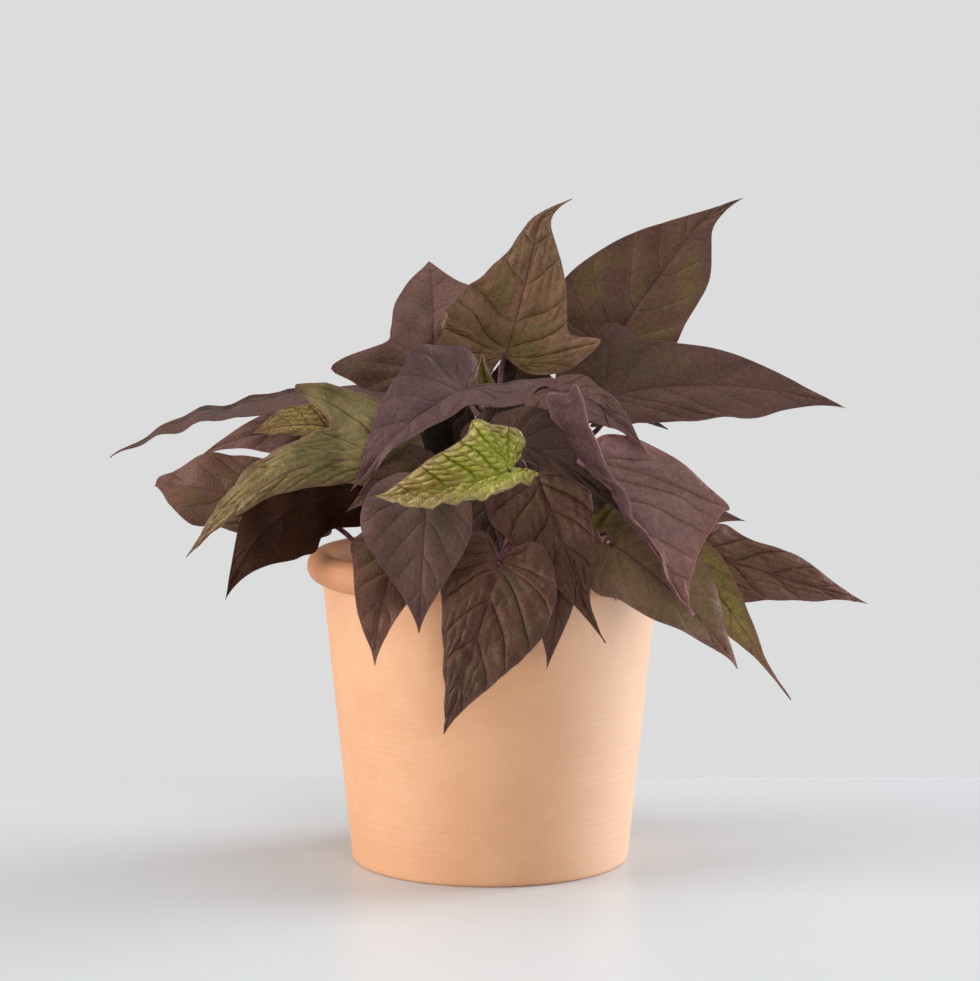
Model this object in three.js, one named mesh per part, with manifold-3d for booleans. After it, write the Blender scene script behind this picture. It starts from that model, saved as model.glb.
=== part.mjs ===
// Sweet potato vine (Ipomoea batatas) growing in a rolled-rim terracotta pot.
// Millimetres, +Z up. The origin is the centre of the pot's foot, on the surface it stands on,
// and -Y is the side the plant shows best.
import * as THREE from 'three';
import { mergeVertices } from 'three/addons/utils/BufferGeometryUtils.js';
import Module from 'manifold-3d';

const wasm = await Module();
wasm.setup();

// ---- Driving dimensions ----
const gap = 0.3; // between pieces that touch

const rimRadius = 82.5; // outside of the rolled rim
const rimTop = 141;
const rollHalfWidth = 6.5; // the roll's section is an ellipse
const rollHalfHeight = 7;
const footRadius = 62.7;
const bodyTopRadius = 75.6; // just under the roll
const footRounding = 1.6;
const innerRounding = 3; // where the wall meets the floor
const wall = 6.2;
const floorThickness = 9;
const drainRadius = 9;
const potSegments = 36;

const soilEdgeHeight = 117; // the soil's surface at the wall
const soilCrownHeight = 120; // and at the middle, where the stems rise
const soilCrownRadius = 24;

const stemRadius = 2.6;
const stemSides = 8;
const stemSteps = 8;

const petioleRadius = 1.2; // leaf stalks
const petioleSides = 4;
const petioleSteps = 6;
const petioleInside = 1.5; // how far the stalk reaches under the blade
const petioleDrop = 4.8; // how far behind and below the notch it straightens out

const bladeThickness = 0.8;
const bladeColumns = 2; // between the midrib and the margin
const hookStart = 0.82; // where along the midrib the tip begins to hook

// ---- Colours ----
const terracotta = new THREE.MeshStandardMaterial({ color: 0xd9a07a, roughness: 0.85, metalness: 0 });
const pottingMix = new THREE.MeshStandardMaterial({ color: 0x3a2c22, roughness: 1, metalness: 0 });
const stemSkin = new THREE.MeshStandardMaterial({ color: 0x5a3a40, roughness: 0.6, metalness: 0 });
const leafTones = {
  purple: new THREE.MeshStandardMaterial({ color: 0x64494b, roughness: 0.6, metalness: 0 }),
  olive: new THREE.MeshStandardMaterial({ color: 0x665c3c, roughness: 0.6, metalness: 0 }),
  lime: new THREE.MeshStandardMaterial({ color: 0xa9b84c, roughness: 0.55, metalness: 0 }),
  tan: new THREE.MeshStandardMaterial({ color: 0x8f7a4c, roughness: 0.8, metalness: 0 }),
};

// ---- Plant layout ----
// Each stem is a smooth line through its points, from inside the soil upwards.
const stems = [
  { name: 'stem_left', points: [[-12, 0, 100], [-16, -2, 128], [-38, -8, 160], [-58, -14, 184]] },
  { name: 'stem_front_left', points: [[-8, -11, 100], [-11, -18, 130], [-18, -40, 160], [-20, -52, 186]] },
  { name: 'stem_front', points: [[2, -12, 100], [5, -24, 128], [14, -50, 154], [18, -64, 178]] },
  { name: 'stem_right', points: [[12, -6, 100], [19, -12, 128], [44, -30, 152], [64, -44, 170]] },
  { name: 'stem_upright', points: [[0, 0, 100], [0, -2, 135], [-2, -8, 175], [-2, -12, 206]] },
  { name: 'stem_back_right', points: [[10, 7, 100], [16, 9, 132], [34, 12, 168], [44, 14, 206]] },
  { name: 'stem_back_left', points: [[-6, 11, 100], [-12, 18, 132], [-24, 30, 168], [-34, 40, 196]] },
  { name: 'stem_back', points: [[4, 13, 100], [8, 24, 130], [16, 44, 158], [22, 60, 182]] },
];

// Each leaf has the base, middle and tip of its midrib, the way its upper face looks, the half
// widths of its left and right halves (seen from above with the tip up), and its stalk: the stem,
// the place along it and the points between. The rest bends the blade, left and right: fold at the
// midrib and curl towards the margin, in degrees; lobes from 0 (heart) over 1 (spear) to 2 (lobed);
// sweep of the shoulders towards the tip; full, the fullness near the tip; lift of the shoulders;
// and basal, the length of the base lobes; and for the whole blade wave of the margin (height,
// number, start) and hook, the bend of the tip.
const plainLeaf = {
  fold: [5, 5], curl: [10, 10], lobes: [0.5, 0.5], sweep: [0, 0], full: [0, 0], lift: [0, 0],
  basal: [1, 1], wave: [1, 2, 0], hook: [0, 0, 0],
};
const leaves = [
  { name: 'leaf_top_left', tone: 'purple', base: [-26, 16, 222], mid: [-26, 26, 248],
    tip: [-28, 46, 268], face: [0, -1, 0.15], half: [46, 34], lobes: [1.75, 0.8],
    sweep: [-0.21, 0], full: [0.25, 0.4], hook: [0, 2, 0], stem: 'stem_back_left', at: 0.8,
    via: [[-28, 26, 206]] },
  { name: 'leaf_top_center', tone: 'olive', base: [7, -2, 228], mid: [16, 2, 261],
    tip: [24, 8, 300], face: [0.1, -1, 0.1], half: [48, 39], fold: [-10, 5], curl: [90, 15],
    lobes: [1.25, 1.35], sweep: [-0.05, 0.12], basal: [1, 0.4], full: [-0.3, 0.05],
    hook: [13, -2, -2], stem: 'stem_upright', at: 0.85, via: [[4, -2, 212]] },
  { name: 'leaf_front_purple', tone: 'purple', base: [-10, -40, 216], mid: [-35, -52, 202],
    tip: [-60, -56, 173], face: [-0.1, -0.9, 0.5], half: [20, 26], fold: [8, 10],
    lobes: [1.6, 0.5], sweep: [-0.45, 0.05], lift: [4, 0], basal: [2.6, 1], stem: 'stem_upright',
    at: 0.97, via: [[-6, -26, 208]] },
  { name: 'leaf_right_top', tone: 'olive', base: [54, 24, 230], mid: [79, 31, 265],
    tip: [104, 38, 296], face: [-0.1, -1, 0.2], half: [34, 26], lobes: [0, 0],
    full: [0.05, 0.5], hook: [12, 1, 2], stem: 'stem_back_right', at: 0.95,
    via: [[48, 20, 218]] },
  { name: 'leaf_right_long', tone: 'purple', base: [52, 3, 209], mid: [103, 1, 215],
    tip: [160, 4, 204], face: [0, -1, 0.35], half: [32, 18], lobes: [1.15, 0],
    sweep: [-0.03, 0.2], full: [0, 0.6], stem: 'stem_back_right', at: 0.85,
    via: [[46, 8, 202]] },
  { name: 'leaf_left_long', tone: 'purple', base: [-43, 24, 211], mid: [-122, 18, 203],
    tip: [-171, 6, 181], face: [-0.15, -0.3, 1], half: [25, 6], curl: [-10, -10],
    lobes: [0.3, 0.1], wave: [0.3, 1, 0], stem: 'stem_left', at: 0.93, via: [[-54, 8, 198]] },
  { name: 'leaf_green_left', tone: 'olive', base: [-46, -50, 184], mid: [-88, -58, 181],
    tip: [-131, -62, 145], face: [-0.2, -0.75, 0.7], half: [12, 40], fold: [-50, 5],
    curl: [-10, 10], lobes: [0, 1.9], sweep: [0, 0.15], stem: 'stem_left', at: 0.8,
    via: [[-46, -36, 188]] },
  { name: 'leaf_small_tan', tone: 'tan', base: [-70, -26, 198], mid: [-88, -31, 199],
    tip: [-105, -36, 196], face: [0, -1, 0.6], half: [7, 12], lobes: [0.1, 0.3],
    full: [0.3, 0.3], stem: 'stem_left', at: 0.87, via: [[-58, -24, 188]] },
  { name: 'leaf_left_back', tone: 'purple', base: [-68, -8, 192], mid: [-98, -14, 195],
    tip: [-128, -18, 186], face: [0, -0.9, 0.4], half: [17, 14], hook: [-2, 0, -3],
    stem: 'stem_left', at: 0.95, via: [[-64, -10, 190]] },
  { name: 'leaf_left_lower', tone: 'purple', base: [-78, -20, 160], mid: [-118, -27, 169],
    tip: [-154, -12, 175], face: [0, -0.9, 0.4], half: [18, 19], curl: [20, 20], lobes: [0, 0],
    sweep: [0.2, 0.2], full: [0.9, 0.55], hook: [3, 8, -5], stem: 'stem_left', at: 0.3,
    via: [[-66, -8, 150], [-53, -10, 139]] },
  { name: 'leaf_left_under', tone: 'purple', base: [-56, -34, 166], mid: [-92, -42, 160],
    tip: [-116, -44, 124], face: [0.4, 0.9, 0.5], half: [24, 25], lobes: [0.3, 0],
    sweep: [0, 0.2], full: [0, 0.3], stem: 'stem_left', at: 0.55, via: [[-46, -24, 166]] },
  { name: 'leaf_front_left_low', tone: 'purple', base: [-38, -66, 150], mid: [-46, -82, 128],
    tip: [-49, -80, 101], face: [-0.1, -1, 0.1], half: [16, 20], lobes: [0.6, 0.6],
    stem: 'stem_front_left', at: 0.5, via: [[-30, -56, 158]] },
  { name: 'leaf_front_left', tone: 'purple', base: [-27, -84, 177], mid: [-28, -97, 150],
    tip: [-30, -96, 117], face: [0, -1, 0.2], half: [20, 27], curl: [-10, -10], lobes: [0, 0],
    sweep: [0.1, 0.1], stem: 'stem_front_left', at: 0.75, via: [[-24, -66, 172]] },
  { name: 'leaf_front_center', tone: 'purple', base: [4, -93, 148], mid: [-6, -105, 115],
    tip: [-20, -102, 75], face: [0, -1, 0.2], half: [28, 25], fold: [12, -15], lobes: [0, 0.5],
    sweep: [0.1, 0], stem: 'stem_front', at: 0.6, via: [[14, -72, 158]] },
  { name: 'leaf_center_hanging', tone: 'purple', base: [20, -71, 181], mid: [32, -84, 152],
    tip: [42, -86, 119], face: [-0.1, -1, 0.2], half: [20, 26], lobes: [0.2, 0.2],
    hook: [7, 0, -7], stem: 'stem_front', at: 0.95, via: [[18, -68, 180]] },
  { name: 'leaf_center_low', tone: 'purple', base: [28, -81, 140], mid: [28, -85, 124],
    tip: [24, -86, 100], face: [0.1, -1, 0.2], half: [10, 16], stem: 'stem_front', at: 0.5,
    via: [[24, -64, 150]] },
  { name: 'leaf_lime', tone: 'lime', base: [8, -104, 187], mid: [-20, -112, 180],
    tip: [-48, -110, 177], face: [0, -1, 0.4], half: [16, 25], fold: [15, 5], curl: [60, 20],
    lobes: [0.1, 0.9], basal: [1.1, 1.2], full: [0.5, 0.1], stem: 'stem_front_left', at: 1,
    via: [[0, -90, 190], [-10, -68, 191]] },
  { name: 'leaf_right_big', tone: 'purple', base: [41, -93, 188], mid: [64.5, -100, 158],
    tip: [84, -99, 125], face: [0.2, -1, 0.3], half: [38, 31], fold: [-3, 80], curl: [10, 56],
    lobes: [0.3, 1.8], sweep: [0.45, -0.46], basal: [0.95, 1.6], full: [0, -0.6],
    stem: 'stem_right', at: 0.95, via: [[57, -78, 189]] },
  { name: 'leaf_shadow', tone: 'purple', base: [8, -76, 197], mid: [34, -83, 186],
    tip: [59, -83, 162], face: [-0.1, -0.9, 0.5], half: [17, 7], lobes: [0.3, 0.3],
    stem: 'stem_front', at: 0.9, via: [[14, -66, 186]] },
  { name: 'leaf_brown', tone: 'purple', base: [28, -56, 216], mid: [49, -77, 210],
    tip: [64, -95, 195], face: [0.2, -0.8, 0.6], half: [11, 18], hook: [2, 0, -3],
    stem: 'stem_upright', at: 0.92, via: [[16, -30, 203]] },
  { name: 'leaf_right_mid', tone: 'purple', base: [89, -27, 143], mid: [126, -28, 133],
    tip: [167, -28, 120], face: [0, -1, 0.3], half: [15, 20], lobes: [0.4, 0.3],
    full: [0.5, 0], stem: 'stem_right', at: 0.8, via: [[72, -30, 150]] },
  { name: 'leaf_right_small', tone: 'purple', base: [84, -12, 158], mid: [98, -14, 158],
    tip: [114, -14, 155], face: [0, -1, 0.5], half: [7, 7], lobes: [0.1, 0.1],
    stem: 'stem_right', at: 0.9, via: [[72, -24, 160]] },
  { name: 'leaf_right_olive', tone: 'olive', base: [86, -38, 144], mid: [106, -42, 118],
    tip: [124, -38, 90], face: [-0.2, -1, 0.2], half: [11, 14], lobes: [0.2, 0.2],
    hook: [9, 0, -12], stem: 'stem_right', at: 0.7, via: [[74, -42, 148]] },
  { name: 'leaf_right_low', tone: 'olive', base: [52, -72, 152], mid: [80, -80, 131],
    tip: [107, -66, 97], face: [0.2, -1, 0.3], half: [30, 24], stem: 'stem_right', at: 0.6,
    via: [[54, -58, 156]] },
  { name: 'leaf_inner_center', tone: 'purple', base: [-6, -32, 189], mid: [16, -44, 191],
    tip: [42, -52, 183], face: [0, -0.8, 0.6], half: [18, 26], stem: 'stem_upright', at: 0.7,
    via: [[-5, -22, 186]] },
  { name: 'leaf_inner_left', tone: 'olive', base: [-29, -54, 181], mid: [-44, -58, 177],
    tip: [-62, -60, 165], face: [-0.1, -1, 0.3], half: [15, 13], stem: 'stem_front_left',
    at: 0.95, via: [[-25, -52, 179]] },
  { name: 'leaf_inner_low', tone: 'purple', base: [-4, -58, 172], mid: [1, -66, 160],
    tip: [5, -75, 147], face: [-0.1, -1, 0.3], half: [12, 20], stem: 'stem_front', at: 0.8,
    via: [[8, -57, 170]] },
  { name: 'leaf_inner_top', tone: 'purple', base: [6, 13, 203], mid: [14, 16, 225],
    tip: [24, 20, 246], face: [0, -1, 0.1], half: [12, 24], stem: 'stem_upright', at: 0.8,
    via: [[2, 2, 196]] },
  { name: 'leaf_inner_right', tone: 'purple', base: [34, -8, 173], mid: [56, -14, 164],
    tip: [80, -16, 148], face: [0.1, -1, 0.3], half: [14, 24], stem: 'stem_right', at: 0.45,
    via: [[30, -10, 166]] },
  { name: 'leaf_inner_left_low', tone: 'purple', base: [-14, 4, 168], mid: [-17, 2, 198],
    tip: [-16, 0, 230], face: [-0.1, -1, 0.3], half: [20, 19], stem: 'stem_back_left',
    at: 0.45, via: [[-14, 14, 162]] },
  { name: 'leaf_right_dark', tone: 'purple', base: [50, 14, 197], mid: [66, 14, 199],
    tip: [81, 12, 195], face: [0, -0.5, 1], half: [10, 8], stem: 'stem_back_right', at: 0.75,
    via: [[44, 14, 192]] },
  { name: 'leaf_right_inner', tone: 'purple', base: [44, -48, 182], mid: [47, -55, 173],
    tip: [50, -60, 163], face: [-0.3, -1, 0.1], half: [10, 10], stem: 'stem_right', at: 0.65,
    via: [[43, -42, 174]] },
  { name: 'leaf_low_green', tone: 'olive', base: [38, -58, 150], mid: [45, -71, 145],
    tip: [54, -76, 128], face: [0, -1, 0.3], half: [10, 9], stem: 'stem_front', at: 0.35,
    via: [[24, -50, 142]] },
  { name: 'leaf_shoot_left', tone: 'lime', base: [0, -14, 212], mid: [-3, -18, 221],
    tip: [-3, -20, 230], face: [0, -1, 0.2], half: [6, 6], fold: [40, 40], lobes: [0, 0],
    stem: 'stem_upright', at: 1, via: [[-1, -13, 209]] },
  { name: 'leaf_shoot_right', tone: 'lime', base: [46, -70, 160], mid: [49, -73, 165],
    tip: [54, -74, 170], face: [0, -1, 0.2], half: [5, 5], fold: [40, 40], lobes: [0, 0],
    stem: 'stem_right', at: 0.75, via: [[51, -58, 158]] },
];

// The leaves at the back bend alike.
const backLeafBend = { fold: [8, 8], curl: [-10, -10], hook: [0, 0, -4] };
const backLeaves = [
  { name: 'leaf_back_left_high', tone: 'purple', base: [-30, 56, 205], mid: [-40, 84, 220],
    tip: [-44, 119, 208], face: [0, 0.4, 1], half: [28, 28], lobes: [0.8, 0.8],
    stem: 'stem_back_left', at: 1, via: [[-32, 46, 200]] },
  { name: 'leaf_back_left', tone: 'purple', base: [-50, 44, 186], mid: [-72, 72, 190],
    tip: [-84, 104, 172], face: [-0.3, 0.5, 1], half: [28, 28], lobes: [0.8, 0.8],
    stem: 'stem_back_left', at: 0.8, via: [[-42, 38, 184]] },
  { name: 'leaf_back_left_low', tone: 'purple', base: [-58, 34, 166], mid: [-86, 54, 162],
    tip: [-106, 70, 138], face: [-0.5, 0.5, 1], half: [24, 24], lobes: [0.6, 0.6],
    stem: 'stem_back_left', at: 0.6, via: [[-44, 30, 164]] },
  { name: 'leaf_back_middle', tone: 'olive', base: [8, 56, 204], mid: [8, 86, 214],
    tip: [4, 122, 196], face: [0, 0.5, 1], half: [28, 28], lobes: [0.8, 0.8],
    stem: 'stem_back', at: 1, via: [[14, 56, 196]] },
  { name: 'leaf_back_right_high', tone: 'purple', base: [36, 50, 200], mid: [52, 76, 212],
    tip: [62, 104, 198], face: [0.2, 0.4, 1], half: [24, 24], lobes: [0.8, 0.8],
    stem: 'stem_back', at: 0.95, via: [[30, 54, 190]] },
  { name: 'leaf_back_right', tone: 'purple', base: [40, 62, 172], mid: [60, 86, 168],
    tip: [76, 104, 144], face: [0.4, 0.6, 1], half: [22, 22], lobes: [0.8, 0.8],
    stem: 'stem_back', at: 0.8, via: [[30, 58, 172]] },
  { name: 'leaf_back_low_left', tone: 'purple', base: [-28, 66, 162], mid: [-40, 92, 152],
    tip: [-46, 108, 126], face: [-0.2, 0.9, 0.7], half: [24, 24], lobes: [0.6, 0.6],
    stem: 'stem_back_left', at: 0.5, via: [[-24, 50, 164]] },
  { name: 'leaf_back_low_middle', tone: 'purple', base: [14, 76, 160], mid: [16, 98, 148],
    tip: [14, 112, 118], face: [0.1, 0.9, 0.7], half: [26, 26], lobes: [0.6, 0.6],
    stem: 'stem_back', at: 0.6, via: [[14, 62, 162]] },
  { name: 'leaf_back_low_right', tone: 'purple', base: [52, 50, 150], mid: [72, 72, 142],
    tip: [84, 92, 116], face: [0.6, 0.8, 0.7], half: [22, 22], lobes: [0.6, 0.6],
    stem: 'stem_back', at: 0.4, via: [[38, 44, 150]] },
];

// ---- Leaf outlines ----
// Half of a blade, from the notch at the stalk round to the tip: heart, spear and lobed. Each point
// is its distance along the midrib (1 is the length) and out from it (1 is the half width).
const bladeOutlines = [
  [
    [0, 0], [-0.1, 0.2], [-0.15, 0.5], [-0.08, 0.82], [0.06, 0.98], [0.18, 1], [0.3, 0.93],
    [0.44, 0.78], [0.58, 0.58], [0.72, 0.36], [0.85, 0.16], [0.94, 0.05], [1, 0],
  ],
  [
    [0, 0], [-0.1, 0.15], [-0.17, 0.36], [-0.14, 0.62], [0, 0.82], [0.12, 1], [0.2, 0.78],
    [0.33, 0.66], [0.5, 0.54], [0.68, 0.34], [0.84, 0.14], [0.93, 0.05], [1, 0],
  ],
  [
    [0, 0], [-0.1, 0.12], [-0.18, 0.3], [-0.15, 0.58], [0, 0.82], [0.2, 1], [0.22, 0.4],
    [0.34, 0.34], [0.5, 0.29], [0.68, 0.22], [0.84, 0.13], [0.93, 0.06], [1, 0],
  ],
];
const veinStarts = [0, 0, 0, 0, 0, 0, 0.02, 0.12, 0.3, 0.52, 0.74, 0.88, 1]; // on the midrib
const bladeStations = [0, 1.4, 3, 4, 5, 6, 7, 8, 9.5, 12]; // places along an outline

// ---- Helpers ----
const radians = THREE.MathUtils.degToRad;
const vector = ([x, y, z]) => new THREE.Vector3(x, y, z);

// Catmull-Rom value of a list of numbers at a place between its entries.
function smoothValue(values, place) {
  const i = Math.min(Math.floor(place), values.length - 2);
  const t = place - i;
  const at = (n) => values[THREE.MathUtils.clamp(n, 0, values.length - 1)];
  const [p, q, r, s] = [at(i - 1), at(i), at(i + 1), at(i + 2)];
  return q + 0.5 * t * (r - p + t * (2 * p - 5 * q + 4 * r - s + t * (3 * (q - r) + s - p)));
}

// A closed geometry without doubled vertices or triangles of no area.
function closedGeometry(positions, triangles) {
  const raw = new THREE.BufferGeometry();
  raw.setAttribute('position', new THREE.Float32BufferAttribute(positions, 3));
  raw.setIndex(triangles);
  const merged = mergeVertices(raw, 1e-4);
  const index = merged.getIndex().array;
  const kept = [];
  for (let i = 0; i < index.length; i += 3) {
    const [a, b, c] = [index[i], index[i + 1], index[i + 2]];
    if (a !== b && b !== c && c !== a) kept.push(a, b, c);
  }
  merged.setIndex(kept);
  return merged;
}

function toSolid(geometry) {
  const bare = geometry.clone();
  bare.deleteAttribute('normal');
  bare.deleteAttribute('uv');
  const merged = mergeVertices(bare.index ? bare.toNonIndexed() : bare, 1e-4);
  const vertProperties = new Float32Array(merged.getAttribute('position').array);
  const triVerts = new Uint32Array(merged.getIndex().array);
  return new wasm.Manifold(new wasm.Mesh({ numProp: 3, vertProperties, triVerts }));
}

function toGeometry(solid) {
  const mesh = solid.getMesh();
  const geometry = new THREE.BufferGeometry();
  geometry.setAttribute('position', new THREE.BufferAttribute(mesh.vertProperties, 3));
  geometry.setIndex(new THREE.BufferAttribute(mesh.triVerts, 1));
  geometry.computeVertexNormals();
  return geometry;
}

// A round bar along a curve.
function barAlong(curve, radius, sides, steps) {
  const section = new THREE.Shape();
  for (let i = 0; i < sides; i++) {
    const angle = (2 * Math.PI * i) / sides;
    const point = [radius * Math.cos(angle), radius * Math.sin(angle)];
    if (i === 0) section.moveTo(...point);
    else section.lineTo(...point);
  }
  section.closePath();
  return new THREE.ExtrudeGeometry(section, { steps, bevelEnabled: false, extrudePath: curve });
}

// ---- Pot ----
// Half section, (radius, height), from the drain hole round the outside and back down the inside.
function potProfile() {
  const rollCentre = [rimRadius - rollHalfWidth, rimTop - rollHalfHeight];
  const points = [
    [drainRadius, 0],
    [footRadius - footRounding, 0],
    [footRadius, footRounding],
    [bodyTopRadius, rollCentre[1] - rollHalfHeight],
  ];
  for (const degrees of [-60, -30, 0, 30, 60, 90, 125, 160]) {
    const angle = radians(degrees);
    points.push([
      rollCentre[0] + rollHalfWidth * Math.cos(angle),
      rollCentre[1] + rollHalfHeight * Math.sin(angle),
    ]);
  }
  points.push([bodyTopRadius - wall, rollCentre[1] - rollHalfHeight]);
  points.push([innerRadius(floorThickness), floorThickness + innerRounding]);
  points.push([innerRadius(floorThickness) - innerRounding, floorThickness]);
  points.push([drainRadius, floorThickness]);
  return points;
}

// Inside radius of the tapered wall at a height.
function innerRadius(height) {
  const wallTop = rimTop - 2 * rollHalfHeight;
  return THREE.MathUtils.lerp(footRadius, bodyTopRadius, height / wallTop) - wall;
}

function latheOf(points) {
  const profile = points.map(([r, z]) => new THREE.Vector2(r, z));
  const geometry = new THREE.LatheGeometry(profile, potSegments);
  geometry.rotateX(Math.PI / 2);
  return geometry;
}

function makePot() {
  const profile = potProfile();
  return toSolid(latheOf([...profile, profile[0]]));
}

// ---- Soil ----
function makeSoil(stemSolids) {
  const low = floorThickness + gap;
  const body = toSolid(latheOf([
    [0, low],
    [innerRadius(floorThickness) - innerRounding - gap, low],
    [innerRadius(floorThickness) - gap, low + innerRounding],
    [innerRadius(soilEdgeHeight) - 2 * gap, soilEdgeHeight],
    [soilCrownRadius, soilCrownHeight],
    [0, soilCrownHeight],
  ]));
  return stemSolids.reduce((soil, socket) => soil.subtract(socket), body);
}

// ---- Leaves ----
// One leaf's midrib: a quadratic curve through its base, middle and tip.
function midrib(leaf) {
  const [base, middle, tip] = [leaf.base, leaf.mid, leaf.tip].map(vector);
  const control = middle.clone().multiplyScalar(2).sub(base.clone().add(tip).multiplyScalar(0.5));
  return new THREE.QuadraticBezierCurve3(base, control, tip);
}

// Directions at a place along the midrib: along it, out of the upper face, and to the right.
function bladeFrame(leaf, curve, along) {
  const place = THREE.MathUtils.clamp(along, 0, 1);
  const forward = curve.getTangent(place).normalize();
  const face = vector(leaf.face);
  const up = face.addScaledVector(forward, -face.dot(forward)).normalize();
  return { forward, up, right: forward.clone().cross(up) };
}

// Point of the blade at a distance along the midrib (in lengths) and out from it (in half
// widths) on one side: -1 is left, 1 is right.
function bladePoint(leaf, curve, length, side, along, out) {
  const half = side < 0 ? 0 : 1;
  const { forward, up, right } = bladeFrame(leaf, curve, along);
  const point = curve.getPoint(THREE.MathUtils.clamp(along, 0, 1));
  if (along < 0) {
    point.addScaledVector(forward, along * length);
  }
  if (along > hookStart) {
    point.addScaledVector(vector(leaf.hook), ((along - hookStart) / (1 - hookStart)) ** 2);
  }
  const fold = radians(leaf.fold[half]);
  const curl = radians(leaf.curl[half]) || 1e-4;
  const width = leaf.half[half];
  const across = (width / curl) * (Math.sin(fold + curl * out) - Math.sin(fold));
  const raised = (-width / curl) * (Math.cos(fold + curl * out) - Math.cos(fold));
  const nearBase = 1 - THREE.MathUtils.smoothstep(along, 0.1, 0.4);
  const lobeTip = THREE.MathUtils.smoothstep(out, 0.45, 1) * nearBase;
  const [waveHeight, waves, waveStart] = leaf.wave;
  const wave = waveHeight * Math.sin(2 * Math.PI * waves * along + radians(waveStart)) * out * out;
  point.addScaledVector(right, side * across);
  return point.addScaledVector(up, raised + leaf.lift[half] * lobeTip + wave);
}

// A station on the outline of one half: distance along, out, and its vein's start.
function outlineStation(leaf, half, place) {
  const shape = Math.min(Math.floor(leaf.lobes[half]), bladeOutlines.length - 2);
  const [plain, lobed] = [bladeOutlines[shape], bladeOutlines[shape + 1]];
  const mixed = (axis) => THREE.MathUtils.lerp(
    smoothValue(plain.map((p) => p[axis]), place),
    smoothValue(lobed.map((p) => p[axis]), place),
    leaf.lobes[half] - shape,
  );
  const from = mixed(0);
  const out = Math.max(mixed(1), 0);
  const along = (from < 0 ? leaf.basal[half] * from : from) + leaf.sweep[half] * out * out;
  const fullness = 1 + leaf.full[half] * THREE.MathUtils.smoothstep(from, 0.3, 0.7);
  return { along, out: out * fullness, start: smoothValue(veinStarts, place) };
}

// The blade: a grid of points on each half, thickened into a closed shell.
function bladeSolid(leaf) {
  const curve = midrib(leaf);
  const length = curve.getLength();
  const points = [];
  const triangles = [];
  const rows = bladeStations.length;
  const columns = bladeColumns + 1;
  for (const side of [-1, 1]) {
    const offset = points.length;
    for (const place of bladeStations) {
      const { along, out, start } = outlineStation(leaf, side < 0 ? 0 : 1, place);
      for (let j = 0; j < columns; j++) {
        const v = j / bladeColumns;
        const a = start + (along - start) * (0.75 * v + 0.25 * v * v);
        points.push(bladePoint(leaf, curve, length, side, a, out * v));
      }
    }
    for (let i = 0; i < rows - 1; i++) {
      for (let j = 0; j < columns - 1; j++) {
        const [a, b] = [offset + i * columns + j, offset + i * columns + j + 1];
        const [c, d] = [a + columns, b + columns];
        if (side > 0) triangles.push(a, b, d, a, d, c);
        else triangles.push(a, d, b, a, c, d);
      }
    }
  }
  const flat = closedGeometry(points.flatMap((p) => [p.x, p.y, p.z]), triangles);
  return toSolid(thickened(flat, bladeThickness));
}

// A shell of the given thickness round an open surface.
function thickened(surface, thickness) {
  surface.computeVertexNormals();
  const place = surface.getAttribute('position');
  const normal = surface.getAttribute('normal');
  const index = surface.getIndex().array;
  const count = place.count;
  const positions = [];
  for (const side of [0.5, -0.5]) {
    for (let i = 0; i < count; i++) {
      const p = new THREE.Vector3().fromBufferAttribute(place, i);
      p.addScaledVector(new THREE.Vector3().fromBufferAttribute(normal, i), side * thickness);
      positions.push(p.x, p.y, p.z);
    }
  }
  const triangles = [];
  const edges = new Map();
  for (let i = 0; i < index.length; i += 3) {
    const [a, b, c] = [index[i], index[i + 1], index[i + 2]];
    triangles.push(a, b, c, a + count, c + count, b + count);
    for (const [p, q] of [[a, b], [b, c], [c, a]]) {
      if (!edges.delete(`${q},${p}`)) edges.set(`${p},${q}`, [p, q]);
    }
  }
  for (const [p, q] of edges.values()) {
    triangles.push(p, p + count, q + count, p, q + count, q);
  }
  const shell = new THREE.BufferGeometry();
  shell.setAttribute('position', new THREE.Float32BufferAttribute(positions, 3));
  shell.setIndex(triangles);
  return shell;
}

// The stalk: from just inside the blade, back under the notch and down to its stem.
function petioleSolid(leaf, stemCurve) {
  const curve = midrib(leaf);
  const { forward, up } = bladeFrame(leaf, curve, 0);
  const base = vector(leaf.base);
  const inside = base.clone().addScaledVector(forward, petioleInside);
  const behind = base.clone().addScaledVector(forward, -petioleDrop).addScaledVector(up, -petioleDrop);
  const path = new THREE.CatmullRomCurve3([
    inside, behind, ...leaf.via.map(vector), stemCurve.getPoint(leaf.at),
  ]);
  return toSolid(barAlong(path, petioleRadius, petioleSides, petioleSteps));
}

// ---- Assembly ----
const plant = new THREE.Group();

function addPiece(name, solid, material) {
  const mesh = new THREE.Mesh(toGeometry(solid), material);
  mesh.name = name;
  plant.add(mesh);
}

const stemCurves = {};
const sockets = {};
for (const { name, points } of stems) {
  stemCurves[name] = new THREE.CatmullRomCurve3(points.map(vector));
  sockets[name] = toSolid(barAlong(stemCurves[name], stemRadius + gap, stemSides, stemSteps));
  addPiece(name, toSolid(barAlong(stemCurves[name], stemRadius, stemSides, stemSteps)), stemSkin);
}

addPiece('pot', makePot(), terracotta);
addPiece('soil', makeSoil(Object.values(sockets)), pottingMix);

const allLeaves = [
  ...leaves.map((row) => ({ ...plainLeaf, ...row })),
  ...backLeaves.map((row) => ({ ...plainLeaf, ...backLeafBend, ...row })),
];
for (const leaf of allLeaves) {
  const stalk = petioleSolid(leaf, stemCurves[leaf.stem]).subtract(sockets[leaf.stem]);
  addPiece(leaf.name, bladeSolid(leaf).add(stalk), leafTones[leaf.tone]);
}

export default plant;
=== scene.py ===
"""Sweet potato vine in a rolled-rim terracotta pot: its looks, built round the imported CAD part.

Shapes are worked out in millimetres, from the CAD's own numbers, and become metres in add_mesh().
"""

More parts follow.
